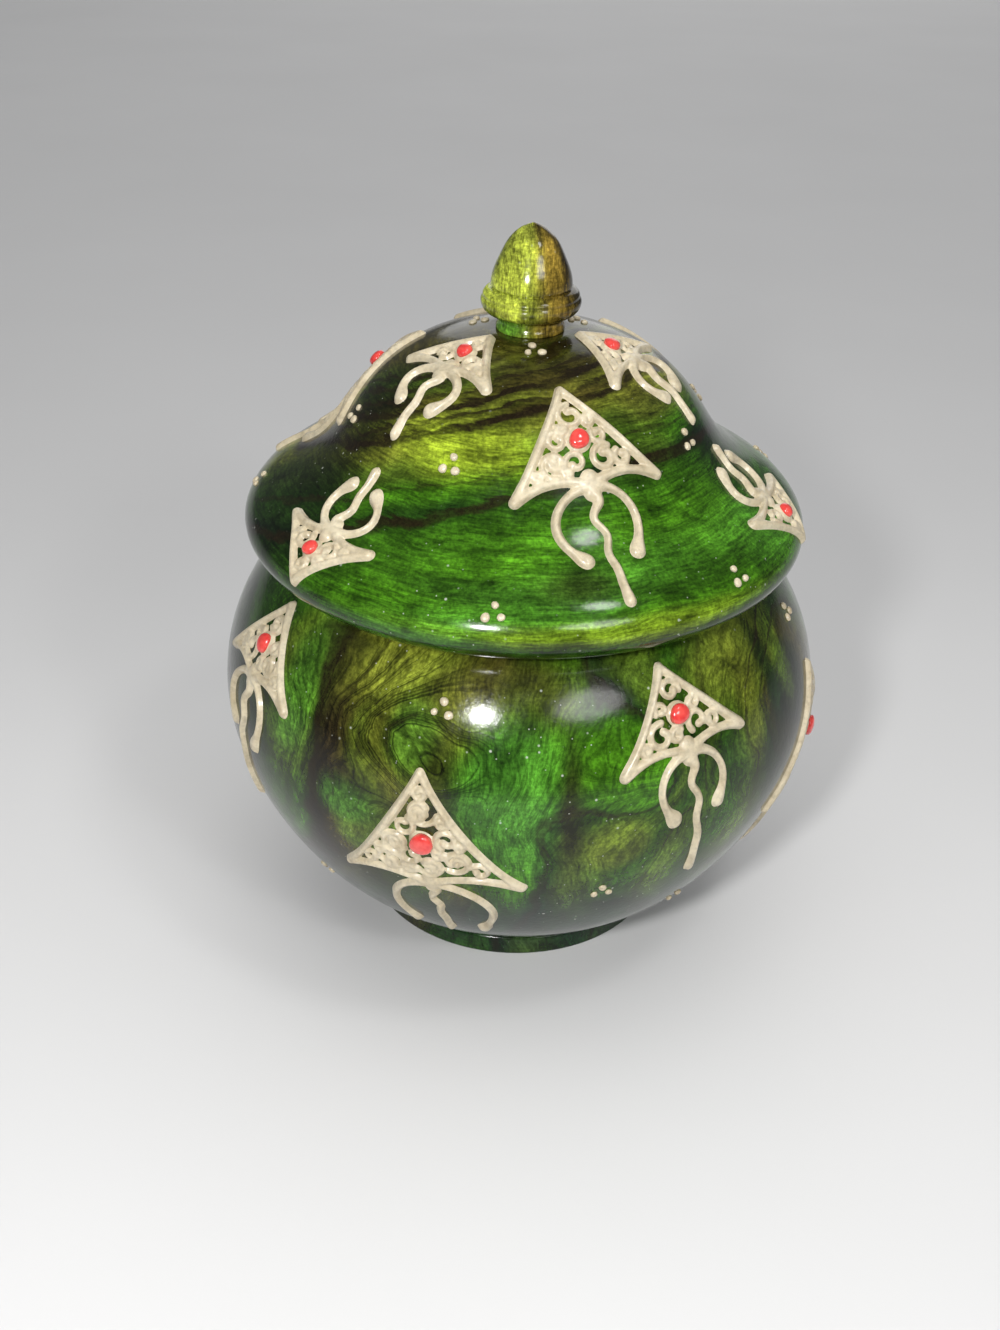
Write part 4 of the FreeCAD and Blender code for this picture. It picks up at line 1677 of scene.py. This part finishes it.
    def _tassels(self) -> None:
        """Two tassels that arch out of the neck, hang down and swell at their ends."""
        size, line, plan = self.size, PIPING.line, DRAWING
        start = self.foot - plan.tassel_start[1] * line
        for side in (-1, 1):
            wide = side * size.width
            spread = self.hand.uniform(*plan.tassel_spread)
            tip = (wide * self.hand.uniform(*plan.tassel_tip), self.foot - size.tassel)
            arch = (wide * plan.tassel_arch[0] * spread, start + plan.tassel_arch[1] * line)
            hang = [
                (wide * aside * spread, start - down * size.tassel)
                for aside, down in (plan.tassel_out, plan.tassel_under)
            ]
            path = bezier([(side * plan.tassel_start[0] * line, start), arch, *hang, tip])
            ends = (plan.tassel_head, self.hand.uniform(*plan.tassel_foot))
            self.lay(path, line * plan.tassel_width, PIPING.line_rise, ends)

    def _tail(self) -> None:
        """The tail between the tassels: x = a sin(2 pi n u) (1 - u)^1.6, straight at its end, with a blob."""
        size, line, plan = self.size, PIPING.line, DRAWING
        u = np.linspace(0, 1, plan.tail_points)
        swing = plan.tail_swing * line * self.hand.uniform(*plan.tail_swing_range)
        waves = size.tail / self.hand.uniform(*plan.tail_wave)
        lean = self.hand.uniform(-plan.tail_lean, plan.tail_lean) * size.width
        calm = (1 - u) ** plan.tail_calm
        x = swing * np.sin(FULL_TURN * waves * u) * calm * np.minimum(1, plan.tail_onset * u) + lean * u
        path = np.stack([x, self.foot - line - u * (size.tail - line)], axis=1)
        self.lay(path, line * plan.tail_width, PIPING.line_rise, plan.tail_ends)

    def build(self, outline: Outline, anchor: float, azimuth: float) -> Object:
        """Stamps the lines into a relief and wraps it on the wood.

        At each cell of a fine grid the relief is the highest of rise * (1 - (d / w)^3) over all the lines'
        points, d the distance and w the half width. It sinks under the wood at its edges, so the seam is
        where it meets the wood, and a bed under the wood closes it.

        Args:
            outline: the turned outline that carries it.
            anchor: place of the drawing's origin on the outline.
            azimuth: turn round the jar, in degrees.

        Returns:
            The object.
        """
        path = np.concatenate([line.path for line in self.beads])
        widths = np.concatenate([line.half_width for line in self.beads])
        rises = np.concatenate([line.rise for line in self.beads])
        grid, sink = PIPING.grid, PIPING.sink
        low = path.min(axis=0) - PIPING.margin
        shape = np.ceil((path.max(axis=0) + PIPING.margin - low) / grid).astype(int) + 1
        relief = np.full(shape, -sink)
        reach = int(PIPING.stamp_reach * widths.max() / grid) + 1
        steps = np.arange(-reach, reach + 1)
        kernel = np.stack(np.meshgrid(steps, steps), axis=-1).reshape(-1, 2)
        cell = np.round((path - low) / grid).astype(int)
        cells = cell[:, None, :] + kernel[None]
        away = ((low + cells * grid - path[:, None, :]) ** 2).sum(axis=-1)
        stamp = rises[:, None] * (1 - (away / widths[:, None] ** 2) ** 1.5)
        np.maximum.at(relief, (cells[..., 0].ravel(), cells[..., 1].ravel()), stamp.ravel())
        for axis in (0, 1, 0, 1):
            relief = 0.25 * np.roll(relief, 1, axis) + 0.5 * relief + 0.25 * np.roll(relief, -1, axis)
        return self._mesh(np.maximum(relief, -sink), low, outline, anchor, azimuth)

    def _mesh(self, relief: Array, low: Array, outline: Outline, anchor: float, azimuth: float) -> Object:
        """A closed mesh of the relief's used cells: a top, a bed and a wall between their edges.

        Where two used cells meet at a corner only, a third one joins them, so that no edge has four faces.

        Args:
            relief: heights on the grid.
            low: the grid's first corner on the drawing.
            outline: the turned outline that carries it.
            anchor: place of the drawing's origin on the outline.
            azimuth: turn round the jar, in degrees.

        Returns:
            The object.
        """
        number = np.arange(relief.size).reshape(relief.shape)
        used = np.maximum.reduce(cell_corners(relief)) > -PIPING.used_share * PIPING.sink
        low_left, low_right, high_right, high_left = cell_corners(used)
        for _ in range(3):
            low_right |= low_left & high_right & ~low_right & ~high_left
            low_left |= low_right & high_left & ~low_left & ~high_right
        kept, quads = np.unique(np.stack(cell_corners(number), -1)[used], return_inverse=True)
        quads = quads.reshape(-1, 4)
        flat = low + np.stack(np.unravel_index(kept, relief.shape), axis=1) * PIPING.grid
        tilt = math.radians(self.tilt)
        flat = flat @ np.array([[math.cos(tilt), math.sin(tilt)], [-math.sin(tilt), math.cos(tilt)]])
        count = len(kept)
        top = outline.wrap(flat, relief.ravel()[kept], anchor, azimuth)
        bed = outline.wrap(flat, np.full(count, -PIPING.bed), anchor, azimuth)
        edges = np.concatenate([quads[:, [k, (k + 1) % 4]] for k in range(4)])
        ahead, back = edges[:, 0] * count + edges[:, 1], edges[:, 1] * count + edges[:, 0]
        rim = edges[~np.isin(ahead, back)]
        wall = np.stack([rim[:, 1], rim[:, 0], rim[:, 0] + count, rim[:, 1] + count], axis=1)
        return new_piece(self.name, np.concatenate([top, bed]), [quads, quads[:, ::-1] + count, wall])


@dataclass(frozen=True)
class Dome:
    """A drop of paste or enamel at a centre on a drawing, its foot at a height above the wood.

    The drawing's origin is at the anchor and azimuth, and the phase turns the drop's wavering edge.
    """

    centre: Pair
    radius: float
    foot: float
    height: float
    anchor: float
    azimuth: float
    phase: float

    CROWDING: ClassVar[float] = 0.8
    ROUNDNESS: ClassVar[float] = 2.4
    WAVERS: ClassVar[Pair] = (0.05, 0.03)
    SINK: ClassVar[float] = 0.35

    def points(self, outline: Outline, rings: int, steps: int) -> Array:
        """Its points on the wood.

        At a share q of the radius and a turn t it is foot + height * sqrt(1 - q^2.4) high, and its edge
        wavers as radius * (1 + 0.05 cos(2t + phase) + 0.03 cos(3t - phase)). Its last ring goes under
        the ground.

        Args:
            outline: the turned outline that carries it.
            rings: rings of the cap.
            steps: points of each ring.

        Returns:
            The rings from the crest outwards, then the crest and the middle of its underside.
        """
        share = np.linspace(1 / rings, 1, rings) ** self.CROWDING
        turn = np.linspace(0, FULL_TURN, steps, endpoint=False)
        twice, thrice = self.WAVERS
        waver = 1 + twice * np.cos(2 * turn + self.phase) + thrice * np.cos(3 * turn - self.phase)
        edge = self.radius * waver
        flat = share[:, None, None] * np.stack([edge * np.cos(turn), edge * np.sin(turn)], axis=-1)[None]
        lift = self.foot + self.height * np.sqrt(np.maximum(1 - share ** self.ROUNDNESS, 0))
        lift[-1] = self.foot - self.SINK * self.height
        flat = np.concatenate([flat.reshape(-1, 2), np.zeros((2, 2))]) + np.array(self.centre)
        lift = np.concatenate([np.repeat(lift, steps), [self.foot + self.height, lift[-1]]])
        return outline.wrap(flat, lift, self.anchor, self.azimuth)


def domes(name: str, outline: Outline, drops: Sequence[Dome], rings: int = 10, steps: int = 28) -> Object:
    """Round drops wrapped on the wood, each a closed cap.

    Args:
        name: name of the piece.
        outline: the turned outline that carries the drops.
        drops: where they sit.
        rings: rings of each cap.
        steps: points of each ring.

    Returns:
        One object with all the drops.
    """
    faces = [np.roll(block[:, ::-1], 1, axis=1) for block in ring_faces(rings, steps)]
    offsets = np.arange(len(drops)) * (rings * steps + 2)
    quads = np.concatenate([faces[0] + offset for offset in offsets])
    triangles = np.concatenate([block + offset for offset in offsets for block in faces[1:]])
    points = np.concatenate([drop.points(outline, rings, steps) for drop in drops])
    return new_piece(name, points, [quads, triangles])


@dataclass(frozen=True)
class Ring:
    """A ring of like pendants.

    Attributes:
        node: what their nodes' names start with.
        size: their size.
        place_share: place along the outline, as a share of its length, or None to hang from the crown.
        turns: the (azimuth, tilt) of each, in degrees.
        crown_gap: distance of the plates' tops from the outline's end, where they hang from the crown.
    """

    node: str
    size: PendantSize
    place_share: float | None
    turns: tuple[Pair, ...]
    crown_gap: float = 0.0021


@dataclass(frozen=True)
class Ornament:
    """The raised ornament of one turned piece: rings of pendants, red drops and triads of dots.

    Attributes:
        body: the body that it rides on.
        label: what the names of its drops and dots start with.
        outline: the turned outline that carries it.
        rings: the rings of pendants.
        dots: for each place share along the outline the azimuths of its triads.
        seed: seed of the hand.
    """

    body: Body
    label: str
    outline: Outline
    rings: tuple[Ring, ...]
    dots: dict[float, tuple[float, ...]]
    seed: int
    red_foot: float = 0.00085
    red_height: float = 0.00125
    dot_radius: float = 0.00092
    dot_height: float = 0.00062
    dot_spacing: float = 0.0017
    dot_rings: int = 7
    dot_steps: int = 20
    dot_turn_range: Pair = (-0.25, 0.25)
    dot_size_range: Pair = (0.82, 1.12)
    last_seed: int = 9999

    def anchor(self, ring: Ring) -> float:
        """Place of a ring along the outline.

        Args:
            ring: the ring of pendants.

        Returns:
            The length along the outline to its red drops.
        """
        if ring.place_share is None:
            return self.outline.length - ring.crown_gap - ring.size.height * DROP_SHARE
        return ring.place_share * self.outline.length

    def build_and_dress(self, paste: Material, enamel: Material) -> None:
        """Makes every pendant, drop and dot and seats it on its body.

        Args:
            paste: finish of the pendants and dots.
            enamel: finish of the red drops.
        """
        hand = np.random.default_rng(self.seed)
        reds = []
        for ring in self.rings:
            anchor = self.anchor(ring)
            for number, (azimuth, tilt) in enumerate(ring.turns, start=1):
                node = f"{ring.node}_{number}"
                seed = int(hand.integers(1, self.last_seed))
                pendant = Pendant("piped_" + node, ring.size, tilt, seed)
                pendant.draw()
                seat(pendant.build(self.outline, anchor, azimuth), self.body, Slot.PASTE, paste, node)
                phase = hand.uniform(0, LAST_PHASE)
                red = Dome((0, 0), ring.size.drop, self.red_foot, self.red_height, anchor, azimuth, phase)
                reds.append(red)
        piece = domes(f"enamel_{self.label}_drops", self.outline, reds)
        seat(piece, self.body, Slot.CORAL, enamel, f"{self.label}_red_drops")
        dots = []
        for share, azimuths in self.dots.items():
            for azimuth in azimuths:
                dots += self._triad(share, azimuth, hand)
        piece = domes(f"paste_{self.label}_dots", self.outline, dots, self.dot_rings, self.dot_steps)
        seat(piece, self.body, Slot.PASTE, paste, f"{self.label}_dots")

    def _triad(self, share: float, azimuth: float, hand: np.random.Generator) -> list[Dome]:
        """Three dots about a place, a little uneven.

        Args:
            share: place along the outline, as a share of its length.
            azimuth: turn round the jar, in degrees.
            hand: the hand that sets them.

        Returns:
            The dots.
        """
        turns = math.pi / 2 + np.arange(3) * FULL_TURN / 3 + hand.uniform(*self.dot_turn_range, 3)
        sizes = hand.uniform(*self.dot_size_range, 3)
        anchor = share * self.outline.length
        triad = []
        for turn, size in zip(turns, sizes):
            centre = (self.dot_spacing * math.cos(turn), self.dot_spacing * math.sin(turn))
            triad.append(Dome(centre, self.dot_radius * size, 0.0, self.dot_height, anchor, azimuth, turn))
        return triad


@dataclass(frozen=True)
class Light:
    """An oval soft light: its place, width and height, watts, and whether the lacquer mirrors it."""

    name: str
    place: Point
    size: Pair
    power: float
    mirrored: bool = True

    def build(self, aim: Point) -> None:
        """Makes the light.

        Args:
            aim: the point that it faces.
        """
        lamp = bpy.data.lights.new(self.name, "AREA")
        lamp.shape = "ELLIPSE"
        lamp.size, lamp.size_y = self.size
        lamp.energy = self.power
        light = bpy.data.objects.new(self.name, lamp)
        light.location = self.place
        light.visible_camera = False
        light.visible_glossy = self.mirrored
        light.rotation_euler = (Vector(aim) - Vector(self.place)).to_track_quat("-Z", "Y").to_euler()
        bpy.context.scene.collection.objects.link(light)


@dataclass(frozen=True)
class Studio:
    """The camera at the photograph's place, soft lights and a pale floor."""

    camera_place: Point = (0.0, -0.3074, 0.2483)
    pan: float = -0.0146
    tilt: float = 0.5523
    roll: float = 0.0263
    lens: float = 40.6
    clip_start: float = 0.01
    aim: Point = (0.0, 0.0, 0.08)
    lights: tuple[Light, ...] = (
        Light("key_light", (-0.085, -0.360, 0.300), (0.046, 0.046), 1.25),
        Light("soft_light", (0.240, -0.420, 0.420), (0.25, 0.13), 0.62),
        Light("soft_core", (0.240, -0.420, 0.420), (0.075, 0.045), 0.36),
        Light("high_light", (0.196, -0.182, 0.561), (0.085, 0.095), 0.34),
        Light("back_light", (0.30, 2.60, 1.00), (2.2, 2.2), 12.0),
        Light("fill_light", (0.0, 0.40, 2.40), (3.2, 3.2), 30.0, mirrored=False),
    )
    surround: Point = (0.9, 0.94, 1.0)
    surround_strength: float = 0.11
    floor_size: float = 8.0
    floor_rows: int = 9
    floor_cloud: Cloud = Cloud(7, 3, 0.5)
    floor_levels: Levels = Levels(0.3, 0.7)
    floor_tones: tuple[Point, Point] = ((0.685, 0.680, 0.675), (0.705, 0.700, 0.695))
    floor_roughness: float = 0.85

    def build(self) -> None:
        """Makes the camera, the lights, the world and the floor."""
        self._camera()
        for light in self.lights:
            light.build(self.aim)
        self._world()
        self._floor()
        bpy.context.scene.view_settings.view_transform = "Standard"

    def _camera(self) -> None:
        """The camera, turned by pan, tilt and roll from looking along +Y."""
        pan, tilt, roll = self.pan, self.tilt, self.roll
        forward = Vector((math.sin(pan) * math.cos(tilt), math.cos(pan) * math.cos(tilt), -math.sin(tilt)))
        level = Vector((math.cos(pan), -math.sin(pan), 0.0))
        above = level.cross(forward)
        right = math.cos(roll) * level + math.sin(roll) * above
        up = -math.sin(roll) * level + math.cos(roll) * above
        camera = bpy.data.objects.new("camera", bpy.data.cameras.new("camera"))
        camera.data.lens = self.lens
        camera.data.clip_start = self.clip_start
        turn = Matrix((right, up, -forward)).transposed().to_4x4()
        camera.matrix_world = Matrix.Translation(self.camera_place) @ turn
        bpy.context.scene.collection.objects.link(camera)
        bpy.context.scene.camera = camera

    def _world(self) -> None:
        """A dim even surround."""
        world = bpy.data.worlds.new("surround")
        world.use_nodes = True
        inputs = world.node_tree.nodes["Background"].inputs
        inputs["Color"].default_value = (*self.surround, 1)
        inputs["Strength"].default_value = self.surround_strength
        bpy.context.scene.world = world

    def _floor(self) -> None:
        """A plain pale floor, a flat grid of squares."""
        side = np.linspace(-self.floor_size / 2, self.floor_size / 2, self.floor_rows)
        across, along_y = np.meshgrid(side, side, indexing="ij")
        points = np.stack([across.ravel(), along_y.ravel(), np.zeros(across.size)], axis=1)
        index = np.arange(across.size).reshape(across.shape)
        floor = new_piece("floor", points, [np.stack(cell_corners(index), -1).reshape(-1, 4)])
        paper = Recipe("pale_floor")
        cloud = paper.noise(paper.here(), self.floor_cloud)
        tone = paper.mix(paper.span(cloud, self.floor_levels), *self.floor_tones)
        floor.data.materials.append(paper.finish(Base_Color=tone, Roughness=self.floor_roughness))


def lid_ornament(lid: Lid) -> Ornament:
    """Three rings of pendants on the lid and its dots.

    Args:
        lid: the lid.

    Returns:
        Its ornament.
    """
    low = PendantSize(0.0304, 0.0205, 0.0150, 0.0250, 0.0021, 0.0050, 0.00080)
    high = PendantSize(0.0234, 0.0125, 0.0095, 0.0160, 0.0018, 0.0042, 0.00066)
    brim = PendantSize(0.0248, 0.0120, 0.0110, 0.0150, 0.0017, 0.0042, 0.00066)
    return Ornament(
        body=Body.LID,
        label="lid",
        outline=lid.outline(),
        rings=(
            Ring("crown_low_pendant", low, 0.63, ((17.5, 6), (137.5, -3), (255.5, 2))),
            Ring("crown_high_pendant", high, None, ((-47, 1), (71, 0), (192, -2))),
            Ring("brim_pendant", brim, 0.19, ((-47.5, 180), (75.5, 180), (196, 182))),
        ),
        dots={
            0.155: (-88, -5, 47, 112, 160, 231),
            0.545: (-74, -23, 61, 103, 168, 219),
            0.955: (5, 125, 245),
        },
        seed=41,
    )


def belly_ornament(jar: JarBody) -> Ornament:
    """Two rings of pendants on the belly and its dots.

    Args:
        jar: the bowl.

    Returns:
        Its ornament.
    """
    high = PendantSize(0.0293, 0.0180, 0.0135, 0.0270, 0.0022, 0.0052, 0.00082)
    low = PendantSize(0.0380, 0.0280, 0.0200, 0.0220, 0.0026, 0.0066, 0.00092)
    return Ornament(
        body=Body.JAR,
        label="belly",
        outline=jar.outline(),
        rings=(
            Ring("belly_high_pendant", high, 0.817, ((-59.5, -3), (31, 7), (121, -2), (210, 3))),
            Ring("belly_low_pendant", low, 0.577, ((-15.5, 4), (75, -2), (165, 2), (254, -3))),
        ),
        dots={
            0.26: (42, 131, 221, 310),
            0.44: (17, 107, 196, 286),
            0.845: (-14, 76, 166, 256),
        },
        seed=57,
    )


def main() -> None:
    """Builds the studio and the jar's pieces in order."""
    logging.basicConfig(level=logging.INFO, format="%(name)s %(message)s")
    Studio().build()
    jar, lid, finial = JarBody(), Lid(), Finial()
    for turned_piece in (jar, lid, finial):
        turned_piece.dress(turned_piece.build())
    paste, enamel = Paste().material(), Enamel().material()
    for ornament in (lid_ornament(lid), belly_ornament(jar)):
        ornament.build_and_dress(paste, enamel)


if __name__ == "__main__":
    main()
